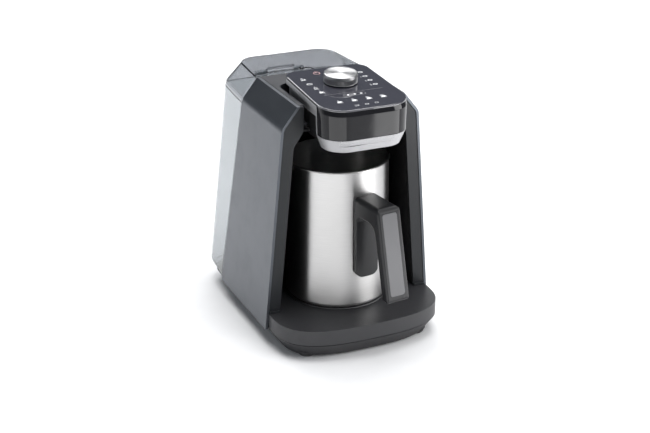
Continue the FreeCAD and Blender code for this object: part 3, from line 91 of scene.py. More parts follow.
LAMINATION_BROWN = (0.24, 0.17, 0.10)
SLEEVE_BLUE = (0.03, 0.05, 0.12)
DUST_GREY = (0.45, 0.45, 0.47)
PAPER_DARK, PAPER_LIGHT = (0.86, 0.86, 0.87), (0.90, 0.90, 0.905)
SURROUNDINGS = (0.80, 0.90, 1.0, 1.0)
COOL_WHITE = (0.88, 0.94, 1.0)

# Depth of a moulding's texture, and how far sharp edges are shown as rounded
MOULD_TEXTURE = 0.02 * MM
MOULD_EDGE, METAL_EDGE, CLEAR_EDGE = 0.4 * MM, 0.3 * MM, 0.6 * MM


# Settings a user would change

class FinishSettings(bpy.types.PropertyGroup):
    """Colours of the main finishes"""
    shell: FloatVectorProperty(
        name="Shell", description="Satin paint of the two side shells",
        subtype="COLOR", size=3, default=(0.096, 0.104, 0.117), min=0, max=1)
    moulding: FloatVectorProperty(
        name="Mouldings", description="Dark satin plastic of the base, columns and bay",
        subtype="COLOR", size=3, default=(0.028, 0.028, 0.031), min=0, max=1)
    gloss: FloatVectorProperty(
        name="Gloss black", description="Polished front band and bezel",
        subtype="COLOR", size=3, default=(0.012, 0.012, 0.014), min=0, max=1)
    panel: FloatVectorProperty(
        name="Panel glass", description="Tinted back of the control plate",
        subtype="COLOR", size=3, default=(0.040, 0.040, 0.052), min=0, max=1)
    silver: FloatVectorProperty(
        name="Silver trim", description="Satin metallic paint of the head's frame",
        subtype="COLOR", size=3, default=(0.41, 0.41, 0.42), min=0, max=1)
    steel: FloatVectorProperty(
        name="Pot steel", description="Brushed stainless steel",
        subtype="COLOR", size=3, default=(0.56, 0.555, 0.55), min=0, max=1)
    tank: FloatVectorProperty(
        name="Tank", description="Tint of the clear tank wall",
        subtype="COLOR", size=3, default=(0.50, 0.525, 0.54), min=0, max=1)
    lid: FloatVectorProperty(
        name="Lid", description="Tint of the smoked lid",
        subtype="COLOR", size=3, default=(0.575, 0.585, 0.605), min=0, max=1)
    handle: FloatVectorProperty(
        name="Handle", description="Satin black plastic of the pot's handle",
        subtype="COLOR", size=3, default=(0.012, 0.012, 0.0135), min=0, max=1)
    inlay: FloatVectorProperty(
        name="Grip inlay", description="Grey strip in the handle's outer face",
        subtype="COLOR", size=3, default=(0.105, 0.105, 0.111), min=0, max=1)


class DialSettings(bpy.types.PropertyGroup):
    """Sizes of the dial's ribs and dished top"""
    ribs: IntProperty(
        name="Ribs", description="Fine ribs round the dial's lower band", default=84, min=24, max=200)
    rib_depth: FloatProperty(
        name="Rib depth", description="Depth of one rib", subtype="DISTANCE", unit="LENGTH",
        default=0.55 * MM, min=0.1 * MM, max=0.8 * MM)
    dish: FloatProperty(
        name="Dish", description="How deep the spun top is dished", subtype="DISTANCE", unit="LENGTH",
        default=0.42 * MM, min=0.0, max=0.8 * MM)


class MarkSettings(bpy.types.PropertyGroup):
    """Inks and line width of the touch marks"""
    ink: FloatVectorProperty(
        name="Ink", description="Printed touch marks", subtype="COLOR", size=3,
        default=(0.80, 0.81, 0.82), min=0, max=1)
    accent: FloatVectorProperty(
        name="Start ring", description="Ink of the start mark", subtype="COLOR", size=3,
        default=(0.62, 0.36, 0.35), min=0, max=1)
    line: FloatProperty(
        name="Line width", description="Stroke of the printed outlines", subtype="DISTANCE",
        unit="LENGTH", default=0.45 * MM, min=0.1 * MM, max=1.0 * MM)


class StudioSettings(bpy.types.PropertyGroup):
    """Powers of the studio's lights"""
    key: FloatProperty(
        name="Overhead", description="Power of the overhead softbox", unit="POWER", default=32.0, min=0)
    side: FloatProperty(
        name="Left strip", description="Power of the left softbox", unit="POWER", default=4.2, min=0)
    front: FloatProperty(
        name="Front", description="Power of the front softbox", unit="POWER", default=15.0, min=0)
    right: FloatProperty(
        name="Right", description="Power of the right softbox", unit="POWER", default=16.0, min=0)
    cards: FloatProperty(
        name="Low cards", description="Power of the low cards in front of the pot", unit="POWER",
        default=0.7, min=0)
    back: FloatProperty(
        name="Back floor light", description="Power of the light on the floor behind", unit="POWER",
        default=44.0, min=0)
    ambient: FloatProperty(
        name="Ambient", description="Brightness of the surroundings", subtype="FACTOR", default=0.10, min=0)


# Shader arithmetic

class Signal:
    """A number that varies over a surface; arithmetic on it adds Math nodes."""

    def __init__(self, finish, socket):
        self.finish = finish
        self.socket = socket

    def _with(self, operation, first, second, clamp=False):
        return self.finish.value("ShaderNodeMath", {"operation": operation, "use_clamp": clamp},
                                 {0: first, 1: second})

    def __add__(self, other):
        return self._with("ADD", self, other)

    __radd__ = __add__

    def __sub__(self, other):
        return self._with("SUBTRACT", self, other)

    def __rsub__(self, other):
        return self._with("SUBTRACT", other, self)

    def __mul__(self, other):
        return self._with("MULTIPLY", self, other)

    __rmul__ = __mul__

    def clamped(self):
        return self._with("ADD", self, 0.0, clamp=True)

    def above(self, low, high):
        """0 below low, 1 above high, straight between."""
        return self._with("MULTIPLY", self - low, 1.0 / (high - low), clamp=True)


class Finish:
    """Builds one node material."""

    def __init__(self, name):
        self.material = bpy.data.materials.new(name)
        self.material.use_nodes = True
        self.tree = self.material.node_tree
        self.tree.nodes.clear()
        self.place = self.raw("ShaderNodeTexCoord").outputs["Object"]

    def raw(self, kind, settings=None, inputs=None):
        """Adds a node, applies its settings, then fills or links its sockets."""
        node = self.tree.nodes.new(kind)
        for key, value in (settings or {}).items():
            setattr(node, key, value)
        for key, value in (inputs or {}).items():
            socket = node.inputs[key]
            if isinstance(value, Signal):
                self.tree.links.new(value.socket, socket)
            elif isinstance(value, bpy.types.NodeSocket):
                self.tree.links.new(value, socket)
            elif socket.type == "RGBA" and len(value) == 3:
                socket.default_value = (*value, 1.0)
            else:
                socket.default_value = value
        return node

    def value(self, kind, settings=None, inputs=None, output=0):
        """Adds a node and gives its output as a number to calculate with."""
        return Signal(self, self.raw(kind, settings, inputs).outputs[output])

    def noise(self, scale, detail=2.0, stretch=(1.0, 1.0, 1.0), roughness=0.5):
        """Noise with a scale in features per metre, denser along the stretched directions."""
        place = self.raw("ShaderNodeMapping", {}, {"Vector": self.place, "Scale": stretch}).outputs[0]
        return self.value("ShaderNodeTexNoise", {}, {
            "Vector": place, "Scale": scale, "Detail": detail, "Roughness": roughness}, "Fac")

    def ring_noise(self, radius, scale):
        """Noise that changes with the distance from an axis alone."""
        return self.value("ShaderNodeTexNoise", {"noise_dimensions": "1D"}, {
            "W": radius, "Scale": scale, "Detail": 3.0}, "Fac")

    def part_of_place(self, letter):
        """X, Y or Z of the point, in metres."""
        return self.value("ShaderNodeSeparateXYZ", {}, {0: self.place}, letter)

    def from_axis(self, centre=(0.0, 0.0, 0.0)):
        """Distance from an upright axis through the centre, in metres."""
        shifted = self.raw("ShaderNodeVectorMath", {"operation": "SUBTRACT"}, {0: self.place, 1: centre})
        flat = self.raw("ShaderNodeVectorMath", {"operation": "MULTIPLY"}, {
            0: shifted.outputs[0], 1: (1.0, 1.0, 0.0)})
        return self.value("ShaderNodeVectorMath", {"operation": "LENGTH"}, {0: flat.outputs[0]}, "Value")

    def waves(self, distance, pitch):
        """Even waves along a distance, from -1 to 1."""
        return self.value("ShaderNodeMath", {"operation": "SINE"}, {0: distance * (2 * math.pi / pitch)})

    def rounded(self, radius):
        """Normal that shows sharp edges as rounded."""
        return self.raw("ShaderNodeBevel", {"samples": 4}, {"Radius": radius}).outputs[0]

    def highlit_edge(self, normal):
        """Near 1 on sharp edges and 0 on open faces; marks where edges get a painted highlight."""
        flat = self.raw("ShaderNodeNewGeometry").outputs["Normal"]
        alike = self.value("ShaderNodeVectorMath", {"operation": "DOT_PRODUCT"}, {
            0: normal, 1: flat}, "Value")
        return (1.0 - alike).above(0.01, 0.16)

    def blend(self, share, first, second):
        """First colour where the share is 0, second where it is 1."""
        node = self.raw("ShaderNodeMix", {"data_type": "RGBA"}, {"Factor": share, 6: first, 7: second})
        return node.outputs[2]

    def drift(self, tone, colour, spread):
        """The colour, darker and lighter by a spread as the tone varies."""
        return self.blend(tone, shade(colour, 1.0 - spread), shade(colour, 1.0 + spread))

    def bump(self, height, strength, distance, normal=None):
        inputs = {"Height": height, "Strength": strength, "Distance": distance}
        if normal is not None:
            inputs["Normal"] = normal
        return self.raw("ShaderNodeBump", {}, inputs).outputs[0]

    def surface(self, sockets):
        """Closes the material with these sockets of its shader."""
        shader = self.raw("ShaderNodeBsdfPrincipled", {}, sockets)
        self.raw("ShaderNodeOutputMaterial", {}, {"Surface": shader.outputs[0]})
        return self.material


def shade(colour, factor):
    """The colour made darker or lighter."""
    return tuple(min(1.0, channel * factor) for channel in colour)


# Finishes

# The edge factor paints sharp edges lighter: partly wear, partly a painted edge highlight.
def moulded(name, colour, roughness=0.42, grain=2600.0, depth=MOULD_TEXTURE, coat=0.0, metallic=0.0,
            edge=MOULD_EDGE, edge_highlight=1.7, spread=0.12, specular=0.5):
    """Moulded or painted plastic: fine texture, slow drift in tone, lighter edges that are partly wear and
    partly a painted highlight.
    """
    f = Finish(name)
    fine = f.noise(grain)
    smudge = f.noise(45.0, 5.0, roughness=0.62).above(0.42, 0.72)
    normal = f.rounded(edge)
    # Sharp edges painted lighter: partly wear, partly a painted edge highlight.
    wear_and_highlight = f.highlit_edge(normal) * f.noise(160.0, 3.0).above(0.3, 0.6)
    base = f.drift(f.noise(14.0, 3.0), colour, spread)
    base = f.blend(wear_and_highlight * 0.55, base, shade(colour, edge_highlight))
    base = f.blend(fine.above(0.35, 0.75) * 0.10, base, shade(colour, 1.35))
    return f.surface({
        "Base Color": base, "Metallic": metallic, "Specular IOR Level": specular,
        "Roughness": (smudge * 0.07 + fine * 0.05 + (roughness - 0.05)).clamped(),
        "Coat Weight": coat, "Coat Roughness": 0.12,
        "Normal": f.bump(fine, 0.35, depth, normal)})


def two_tone(name, body_colour, rail_colour, reach, level):
    """Dark plastic with silver paint on the rails: beyond a reach to each side and above a level."""
    f = Finish(name)
    across = f.value("ShaderNodeMath", {"operation": "ABSOLUTE"}, {0: f.part_of_place("X")})
    edge = 0.2 * MM
    rail = across.above(reach, reach + edge) * f.part_of_place("Z").above(level, level + edge)
    fine = f.noise(2600.0)
    tone = f.noise(14.0, 3.0)
    return f.surface({
        "Base Color": f.blend(rail, f.drift(tone, body_colour, 0.1), f.drift(tone, rail_colour, 0.05)),
        "Metallic": rail * 0.3, "Specular IOR Level": 0.3,
        "Roughness": (fine * 0.06 + rail * -0.18 + 0.46).clamped(),
        "Normal": f.bump(fine, 0.3, MOULD_TEXTURE, f.rounded(MOULD_EDGE))})


def polished(name, colour, roughness=0.05, edge=0.5 * MM, coat=0.6, specular=0.5):
    """Polished black plastic or back-printed glass: faint dust, smudges and soft ripple."""
    f = Finish(name)
    smudge = f.noise(60.0, 5.0, roughness=0.65).above(0.45, 0.80)
    dust = f.noise(2400.0, 1.0).above(0.70, 0.80)
    base = f.blend(dust * 0.10, f.drift(f.noise(20.0), colour, 0.12), DUST_GREY)
    return f.surface({
        "Base Color": base, "Specular IOR Level": specular,
        "Roughness": (smudge * 0.05 + dust * 0.06 + roughness).clamped(),
        "Coat Weight": coat, "Coat Roughness": 0.03,
        "Normal": f.bump(f.noise(28.0, 1.0), 0.05, 0.4 * MM, f.rounded(edge))})


def brushed(name, colour, lines=(1.0, 1.0, 60.0), roughness=0.26, anisotropic=0.75, depth=0.01 * MM,
            scale=45.0, spread=0.10, turn=0.0):
    """Brushed metal: long fine lines across the stretched direction."""
    f = Finish(name)
    fine = f.noise(scale, 3.0, lines, 0.65)
    coarse = f.noise(scale * 0.25, 2.0, lines)
    cloud = f.noise(16.0, 3.0)
    base = f.blend(cloud.above(0.4, 0.8) * 0.25, f.drift(fine, colour, spread), shade(colour, 0.9))
    return f.surface({
        "Base Color": base, "Metallic": 1.0, "Anisotropic": anisotropic, "Anisotropic Rotation": turn,
        "Roughness": (fine * 0.10 + coarse * 0.06 + cloud * 0.04 + (roughness - 0.08)).clamped(),
        "Normal": f.bump(fine * 0.6 + coarse * 0.4, 0.25, depth, f.rounded(METAL_EDGE))})


def rings(name, colour, centre, pitch, roughness):
    """Turned metal: fine rings round an upright axis."""
    f = Finish(name)
    radius = f.from_axis(centre)
    wobble = f.ring_noise(radius, 2200.0)
    cloud = f.noise(30.0, 4.0, roughness=0.6)
    base = f.blend(wobble, shade(colour, 0.86), shade(colour, 1.12))
    base = f.blend(cloud.above(0.45, 0.8) * 0.3, base, shade(colour, 0.85))
    return f.surface({
        "Base Color": base, "Metallic": 1.0, "Anisotropic": 0.6,
        "Roughness": (wobble * 0.14 + cloud * 0.05 + (roughness - 0.08)).clamped(),
        "Normal": f.bump(f.waves(radius, pitch) * 0.3 + wobble, 0.30, 0.01 * MM, f.rounded(METAL_EDGE))})


def spun(name):
    """Spun aluminium of the dial: fine rings and a sheen that fans out from the middle."""
    f = Finish(name)
    marks = f.ring_noise(f.from_axis(), 6200.0)
    tone = f.noise(70.0, 3.0)
    base = f.blend(tone.above(0.4, 0.8) * 0.2, f.blend(marks, SPUN_DARK, SPUN_LIGHT), SPUN_CLOUD)
    return f.surface({
        "Base Color": base, "Metallic": 1.0, "Anisotropic": 0.85, "Anisotropic Rotation": 0.25,
        "Roughness": (marks * 0.14 + tone * 0.03 + 0.24).clamped(),
        "Normal": f.bump(marks, 0.30, 0.012 * MM)})


def clear(name, tint):
    """Clear moulded plastic: slight ripple, wipe marks and a few fine scratches."""
    f = Finish(name)
    wipe = f.noise(30.0, 4.0, (1.0, 1.0, 0.25), 0.6).above(0.50, 0.85)
    scratch = f.noise(90.0, 2.0, (14.0, 1.0, 1.0)).above(0.72, 0.80)
    return f.surface({
        "Base Color": f.drift(f.noise(12.0), tint, 0.015), "Transmission Weight": 1.0, "IOR": 1.46,
        "Roughness": (wipe * 0.07 + scratch * 0.05 + 0.03).clamped(),
        "Normal": f.bump(f.noise(22.0), 0.06, 0.5 * MM, f.rounded(CLEAR_EDGE))})


def soft_rubber(name, colour, roughness=0.72):
    """Matt rubber with a little dust."""
    f = Finish(name)
    fine = f.noise(1800.0, 4.0, roughness=0.7)
    dust = f.noise(70.0, 4.0).above(0.45, 0.75)
    return f.surface({
        "Base Color": f.blend(dust * 0.5, colour, shade(colour, 1.8)), "Specular IOR Level": 0.35,
        "Roughness": (fine * 0.12 + dust * 0.10 + (roughness - 0.1)).clamped(),
        "Normal": f.bump(fine, 0.4, 0.03 * MM, f.rounded(MOULD_EDGE))})


def milky(name):
    """Cloudy silicone of the hoses."""
    f = Finish(name)
    cloud = f.noise(90.0, 3.0)
    return f.surface({
        "Base Color": f.blend(cloud, SILICONE_DARK, SILICONE_LIGHT), "Subsurface Weight": 0.2,
        "Roughness": (cloud * 0.15 + 0.38).clamped(),
        "Normal": f.bump(f.noise(900.0), 0.2, 0.03 * MM)})


def circuit(name, mask_colour):
    """Circuit board: green mask with copper runs under it and bright pads."""
    f = Finish(name)
    runs = f.value("ShaderNodeTexBrick", {"offset": 0.5, "squash": 1.0}, {
        "Vector": f.place, "Color1": (0.0, 0.0, 0.0), "Color2": WHITE, "Mortar": (0.5, 0.5, 0.5),
        "Scale": 260.0, "Mortar Size": 0.03, "Brick Width": 0.9, "Row Height": 0.32}, "Fac")
    spots = f.value("ShaderNodeTexVoronoi", {"feature": "F1"}, {
        "Vector": f.place, "Scale": 330.0}, "Distance")
    pad = 1.0 - spots.above(0.12, 0.16)
    base = f.blend(pad, f.blend(runs * 0.6, mask_colour, shade(mask_colour, 2.1)), PAD_TIN)
    return f.surface({
        "Base Color": base, "Metallic": pad * 0.9,
        "Roughness": (pad * -0.1 + f.noise(300.0) * 0.1 + 0.32).clamped(),
        "Normal": f.bump(runs + pad, 0.4, 0.04 * MM)})


def wound(name, colour, pitch=0.8 * MM):
    """Varnished windings or stacked laminations, seen as fine level lines."""
    f = Finish(name)
    lines = f.waves(f.part_of_place("Z"), pitch)
    return f.surface({
        "Base Color": f.blend(lines.above(-0.6, 0.6), shade(colour, 0.65), shade(colour, 1.25)),
        "Metallic": 0.6, "Roughness": (f.noise(200.0, 3.0) * 0.15 + 0.32).clamped(),
        "Normal": f.bump(lines, 0.5, 0.08 * MM)})


def printed(name, colour):
    """Ink of a touch mark, with a faint painted glow."""
    f = Finish(name)
    speck = f.noise(5200.0)
    base = f.blend(speck.above(0.40, 0.62), shade(colour, 0.92), colour)
    # Emission paints a faint glow into the ink.
    return f.surface({
        "Base Color": base, "Roughness": (speck * 0.12 + 0.34).clamped(),
        "Emission Color": base, "Emission Strength": 0.25, "Normal": f.bump(speck, 0.2, 0.01 * MM)})


# Mesh helpers

def dress(material, *names):
    """Gives CAD nodes a finish."""
    for name in names:
        mesh = NODES[name].data
        mesh.materials.clear()
        mesh.materials.append(material)


def add_mesh(name, mesh, material, body, matrix=None, smooth=True):
    """Links a finished bmesh as a named piece that rides on a body."""
    data = bpy.data.meshes.new(name)
    bmesh.ops.recalc_face_normals(mesh, faces=mesh.faces)
    mesh.to_mesh(data)
    mesh.free()
    if smooth:
        data.shade_smooth()
    piece = bpy.data.objects.new(name, data)
    bpy.context.scene.collection.objects.link(piece)
    data.materials.append(material)
    if matrix is not None:
        piece.matrix_world = matrix
        bpy.context.view_layer.update()
    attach(piece, body)
    return piece


def lathe(profile, steps, wave=None):
    """Turned solid about Z. wave(index, angle) may pull a profile point in or out."""
    mesh = bmesh.new()
    columns = []
    for step in range(steps):
        angle = 2 * math.pi * step / steps
        column = []
        for index, (radius, height) in enumerate(profile):
            reach = radius + (wave(index, angle) if wave else 0.0)
            column.append(mesh.verts.new((reach * math.cos(angle), reach * math.sin(angle), height)))
        columns.append(column)
    for step in range(steps):
        here, there = columns[step], columns[(step + 1) % steps]
        for index in range(len(profile) - 1):
            mesh.faces.new((here[index], there[index], there[index + 1], here[index + 1]))
    for index in (0, -1):
        mesh.faces.new([column[index] for column in columns])
    return mesh


def middle_of(name):
    """Middle of a CAD node's box."""
    low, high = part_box(name)
    return tuple((a + b) / 2 for a, b in zip(low, high))


def joint_named(name):
    """A joint of the frame."""
    return next(joint for joint in frame["joints"] if joint["name"] == name)


def sharpen(piece, degrees):
    """Keeps creases sharper than an angle and bends the shading smoothly elsewhere."""
    mesh = bmesh.new()
    mesh.from_mesh(piece.data)
    limit = math.radians(degrees)
    for edge in mesh.edges:
        if len(edge.link_faces) == 2 and edge.calc_face_angle(0.0) > limit:
            edge.smooth = False
    mesh.to_mesh(piece.data)
    mesh.free()


def surface_of(name):
    """Search tree of a CAD node's faces."""
    data = NODES[name].data
    return BVHTree.FromPolygons([v.co for v in data.vertices], [p.vertices for p in data.polygons])


# Flat marks, drawn in millimetres on the panel and dropped onto it

def stroke(points, width, closed=False):
    """Quads of one printed line."""
    count = len(points)
    sides = []
    for index, point in enumerate(points):
        before = points[index - 1] if index or closed else point
        after = points[(index + 1) % count] if index < count - 1 or closed else point
        along = Vector((after[0] - before[0], after[1] - before[1])).normalized()
        across = Vector((-along.y, along.x)) * width / 2
        sides.append(((point[0] + across.x, point[1] + across.y),
                      (point[0] - across.x, point[1] - across.y)))
    quads = []
    for index in range(count if closed else count - 1):
        here, there = sides[index], sides[(index + 1) % count]
        quads.append([here[0], here[1], there[1], there[0]])
    return quads


def arc(x, y, radius, start, end, steps=14):
    """Points from a start angle to an end angle, in degrees."""
    angles = [math.radians(start + (end - start) * step / steps) for step in range(steps + 1)]
    return [(x + radius * math.cos(a), y + radius * math.sin(a)) for a in angles]


def circle(x, y, radius, width, steps=28):
    return stroke(arc(x, y, radius, 0, 360, steps)[:-1], width, True)


def dot(x, y, radius, steps=16):
    return [arc(x, y, radius, 0, 360, steps)[:-1]]


def cup_mark(x, y, size, filled, line):
    """Side view of a small cup on its saucer."""
    half = size / 2
    body = [(x - half, y + 0.42 * size), (x + half, y + 0.42 * size), (x + 0.9 * half, y),
            (x + 0.55 * half, y - 0.28 * size), (x - 0.55 * half, y - 0.28 * size), (x - 0.9 * half, y)]
    shapes = [body] if filled else stroke(body, line, True)
    shapes += stroke(arc(x + half * 0.98, y + 0.14 * size, 0.20 * size, -80, 80, 8), line)
    shapes += stroke([(x - 0.72 * size, y - 0.42 * size), (x + 0.72 * size, y - 0.42 * size)], line)
    return shapes


def steam_mark(x, y, size, line):
    """Wisp of steam."""
    points = [(x + 0.16 * size * math.sin(step * math.pi / 4), y + size * step / 8) for step in range(9)]
    return stroke(points, line)


def drop_mark(x, y, size, line):
    """Drop of water."""
    round_part = arc(x, y, size * 0.42, 160, 380, 14)
    return stroke(round_part + [(x, y + size * 0.95)], line, True)


def bean_mark(x, y, size, line):
    """Bean with its crease."""
    shell = [(x + 0.5 * size * math.cos(a * math.pi / 8), y + 0.36 * size * math.sin(a * math.pi / 8))
             for a in range(16)]
    crease = [(x - 0.42 * size + 0.84 * size * t / 6, y + 0.10 * size * math.sin(math.pi * t / 3))
              for t in range(7)]
    return stroke(shell, line, True) + stroke(crease, line * 0.7)


INK_LIFT = 0.03 * MM
ABOVE_ALL, BEFORE_ALL = 0.4, -0.4  # metres, where the rays start


def lay_marks(name, shapes, material):
    """Drops flat shapes straight down on the panel and prints them there."""
    ground = surface_of(PANEL)
    mesh = bmesh.new()
    for shape in shapes:
        corners = []
        for x, y in shape:
            spot, normal, _, _ = ground.ray_cast(Vector((x * MM, y * MM, ABOVE_ALL)), Vector((0, 0, -1)))
            if spot is None:
                raise RuntimeError(f"{name}: a mark misses {PANEL}")
            corners.append(mesh.verts.new(spot + normal * INK_LIFT))
        mesh.faces.new(corners)
    return add_mesh(name, mesh, material, "housing", smooth=False)


PLATE_ROWS, PLATE_COLUMNS, PLATE_RISE = 6, 30, 0.3 * MM


def front_plate(name, left, right, low, high, carrier, material, body):
    """Thin raised plate that follows the front of its carrier."""
    ground = surface_of(carrier)
    mesh = bmesh.new()
    last_row, last_column = PLATE_ROWS - 1, PLATE_COLUMNS - 1
    grid = []
    for row in range(PLATE_ROWS):
        line = []
        for column in range(PLATE_COLUMNS):
            x = left + (right - left) * column / last_column
            z = low + (high - low) * row / last_row
            spot, normal, _, _ = ground.ray_cast(Vector((x, BEFORE_ALL, z)), Vector((0, 1, 0)))
            if spot is None:
                raise RuntimeError(f"{name}: the plate misses {carrier}")
            on_rim = row in (0, last_row) or column in (0, last_column)
            outward = normal if normal.y < 0 else -normal
            line.append(mesh.verts.new(spot + outward * (0.0 if on_rim else PLATE_RISE)))
        grid.append(line)
    for here, above in zip(grid, grid[1:]):
        for column in range(last_column):
            mesh.faces.new((here[column], here[column + 1], above[column + 1], above[column]))
    return add_mesh(name, mesh, material, body)


# Operators: finishes

class FinishShells(bpy.types.Operator):
    """Satin grey shells, darker top cover and rear wall"""
    bl_idname = "coffee.finish_shells"
    bl_label = "Shells"

    def execute(self, context):
        colours = context.scene.coffee_finish
        dress(moulded("satin grey shell paint", colours.shell, 0.33, metallic=0.8, spread=0.06,
                      edge_highlight=0.6), "left_side_shell", "right_side_shell")
        dress(moulded("top cover plastic", COVER_BLACK, 0.34, metallic=0.2), "top_cover")
        dress(moulded("rear wall plastic", shade(colours.shell, 0.4), 0.48), "rear_wall")
        # The column edges are painted three times lighter, as an edge highlight.
        dress(moulded("column face plastic", shade(colours.shell, 0.18), 0.34, edge_highlight=3.0,
                      specular=0.30), "left_column", "right_column")
        return {"FINISHED"}


class FinishBase(bpy.types.Operator):
    """Base deck, pan, bay liner, feet and the heated plate"""
    bl_idname = "coffee.finish_base"
    bl_label = "Base and bay"

    def execute(self, context):
        colours = context.scene.coffee_finish
        coarse = {"grain": 1700.0, "depth": 2 * MOULD_TEXTURE}
        # The deck's edges are painted lighter, as a rim highlight.
        dress(moulded("base deck plastic", colours.moulding, 0.46, edge_highlight=2.4, **coarse), "base_deck")
        dress(moulded("pan plastic", shade(colours.moulding, 0.75), 0.55, **coarse),
              "base_pan", "tank_platform")
        dress(moulded("bay liner plastic", shade(colours.moulding, 0.28), 0.62, specular=0.25), "bay_liner")
        dress(soft_rubber("foot rubber", FOOT_BLACK), "rubber_feet")
        dress(rings("turned heater plate", HEATER_GREY, middle_of("heater_plate"), 1.4 * MM, 0.42),
              "heater_plate")
        return {"FINISHED"}


class FinishHead(bpy.types.Operator):
    """Gloss band, silver frame and the glass control plate"""
    bl_idname = "coffee.finish_head"
    bl_label = "Head"

    def execute(self, context):
        colours = context.scene.coffee_finish
        dress(polished("gloss black band", colours.gloss, 0.05, coat=0.0, specular=0.28), "head_fascia")
        dress(polished("control plate glass", colours.panel, 0.035, edge=0.7 * MM, coat=1.0), PANEL)
        dress(moulded("silver frame paint", shade(colours.silver, 1.1), 0.42, metallic=0.55, edge_highlight=1.2,
                      spread=0.04), "head_frame")
        dress(moulded("head tray plastic", shade(colours.moulding, 0.35), 0.50, specular=0.3), "panel_tray")
        rail_reach, rail_level = 38.2 * MM, 232.5 * MM
        dress(two_tone("head chassis plastic and silver rails", shade(colours.moulding, 0.35),
                       colours.silver, rail_reach, rail_level), "head_chassis")
        return {"FINISHED"}


class FinishPot(bpy.types.Operator):
    """Brushed steel pot, its base and its handle"""
    bl_idname = "coffee.finish_pot"
    bl_label = "Pot"

    def execute(self, context):
        colours = context.scene.coffee_finish
        dress(brushed("brushed pot steel", colours.steel, (1.0, 1.0, 50.0), 0.34, 0.80, 0.012 * MM,
                      spread=0.12, turn=0.25), "pot_body")
        dress(rings("turned pot base", shade(colours.steel, 0.80), middle_of("pot_base"), 1.0 * MM, 0.30),
              "pot_base")
        # The handle's edges are painted six times lighter, as an edge highlight.
        dress(moulded("handle plastic", colours.handle, 0.34, grain=2200.0, edge=1.5 * MOULD_EDGE,
                      edge_highlight=6.0, specular=0.36), "pot_handle")
        dress(moulded("grip inlay", colours.inlay, 0.42, grain=2200.0, edge_highlight=1.5, coat=0.1),
              "grip_inlay")
        dress(brushed("bracket steel", BRACKET_STEEL, (1.0, 1.0, 8.0), 0.35), "handle_bracket")
        return {"FINISHED"}


class FinishTank(bpy.types.Operator):
    """Clear tank, smoked lid, valve and strainer"""
    bl_idname = "coffee.finish_tank"
    bl_label = "Tank"

    def execute(self, context):
        colours = context.scene.coffee_finish
        dress(clear("clear tank plastic", colours.tank), "tank_body")
        dress(clear("smoked lid plastic", colours.lid), "tank_lid")
        dress(moulded("white fitting plastic", FITTING_WHITE, 0.45, edge_highlight=1.1, spread=0.04),
              "valve_housing", "valve_plunger", "pump_head", "water_nozzle")
        dress(brushed("strainer gauze", GAUZE_STEEL, (30.0, 30.0, 30.0), 0.35, 0.0, 0.04 * MM, 60.0),
              "strainer")
        dress(soft_rubber("seal rubber", SEAL_BLACK, 0.6), "dock_seal", "valve_seal", "pump_mount",
              "cord_gland")
        dress(brushed("spring wire", SPRING_STEEL, (1.0, 1.0, 1.0), 0.25, 0.0), "valve_spring", "lid_pin",
              "dial_shaft", "encoder_rotor")
        dress(moulded("dock plastic", shade(colours.moulding, 0.9), 0.5), "dock_socket")
        return {"FINISHED"}


class FinishInner(bpy.types.Operator):
    """Pump, hoses, heating parts, boards and screws"""
    bl_idname = "coffee.finish_inner"
    bl_label = "Inner parts"

    def execute(self, context):
        dress(moulded("dark fitting plastic", FITTING_BLACK, 0.45), "pump_bracket", "foam_sensor", "buzzer",
              "relay", "encoder_body", "thermal_fuse")
        dress(polished("sensor window", WINDOW_BLACK, 0.04), "sensor_window")
        dress(brushed("zinc motor can", MOTOR_ZINC, (1.0, 1.0, 6.0), 0.38), "pump_motor")
        dress(milky("milky silicone hose"), "suction_hose", "delivery_hose")
        dress(brushed("heat-tinted element", ELEMENT_TINT, (20.0, 20.0, 1.0), 0.40, 0.0), "heating_element")
        dress(brushed("rolled aluminium shield", SHIELD_ALUMINIUM, (1.0, 20.0, 1.0), 0.34), "heat_shield")
        dress(moulded("ceramic sensor", SENSOR_CERAMIC, 0.5, edge_highlight=1.1), "temperature_sensor")
        dress(circuit("green circuit board", BOARD_GREEN), "power_board", "touch_board")
        dress(wound("varnished laminations", LAMINATION_BROWN), "transformer")
        dress(polished("capacitor sleeve", SLEEVE_BLUE, 0.22, coat=0.2), "filter_capacitor")
        dress(brushed("screw steel", SCREW_STEEL, (8.0, 8.0, 8.0), 0.35, 0.0),
              "shell_screws", "base_screws", "handle_screws")
        return {"FINISHED"}


# Operators: pieces

def dial_matrix():
    """The dial's own frame: origin on the plate, Z along its shaft."""
    joint = joint_named("dial_turn")
    axis = Vector(joint["axis"]).normalized()
    turn = Vector((0, 0, 1)).rotation_difference(axis).to_matrix().to_4x4()
    return Matrix.Translation(Vector(joint["pos_m"])) @ turn


# Sizes of the dial's cap, with heights above the plate along its shaft
DIAL_RADIUS, DIAL_WALL, DIAL_TOP = 16.1 * MM, 1.5 * MM, 9.84 * MM
DIAL_FOOT, BAND_LOW, BAND_HIGH = 1.0 * MM, 1.5 * MM, 6.4 * MM
BAND_POINTS = (5, 6)  # points of the profile that carry the ribs
CREASE_DEGREES = 28


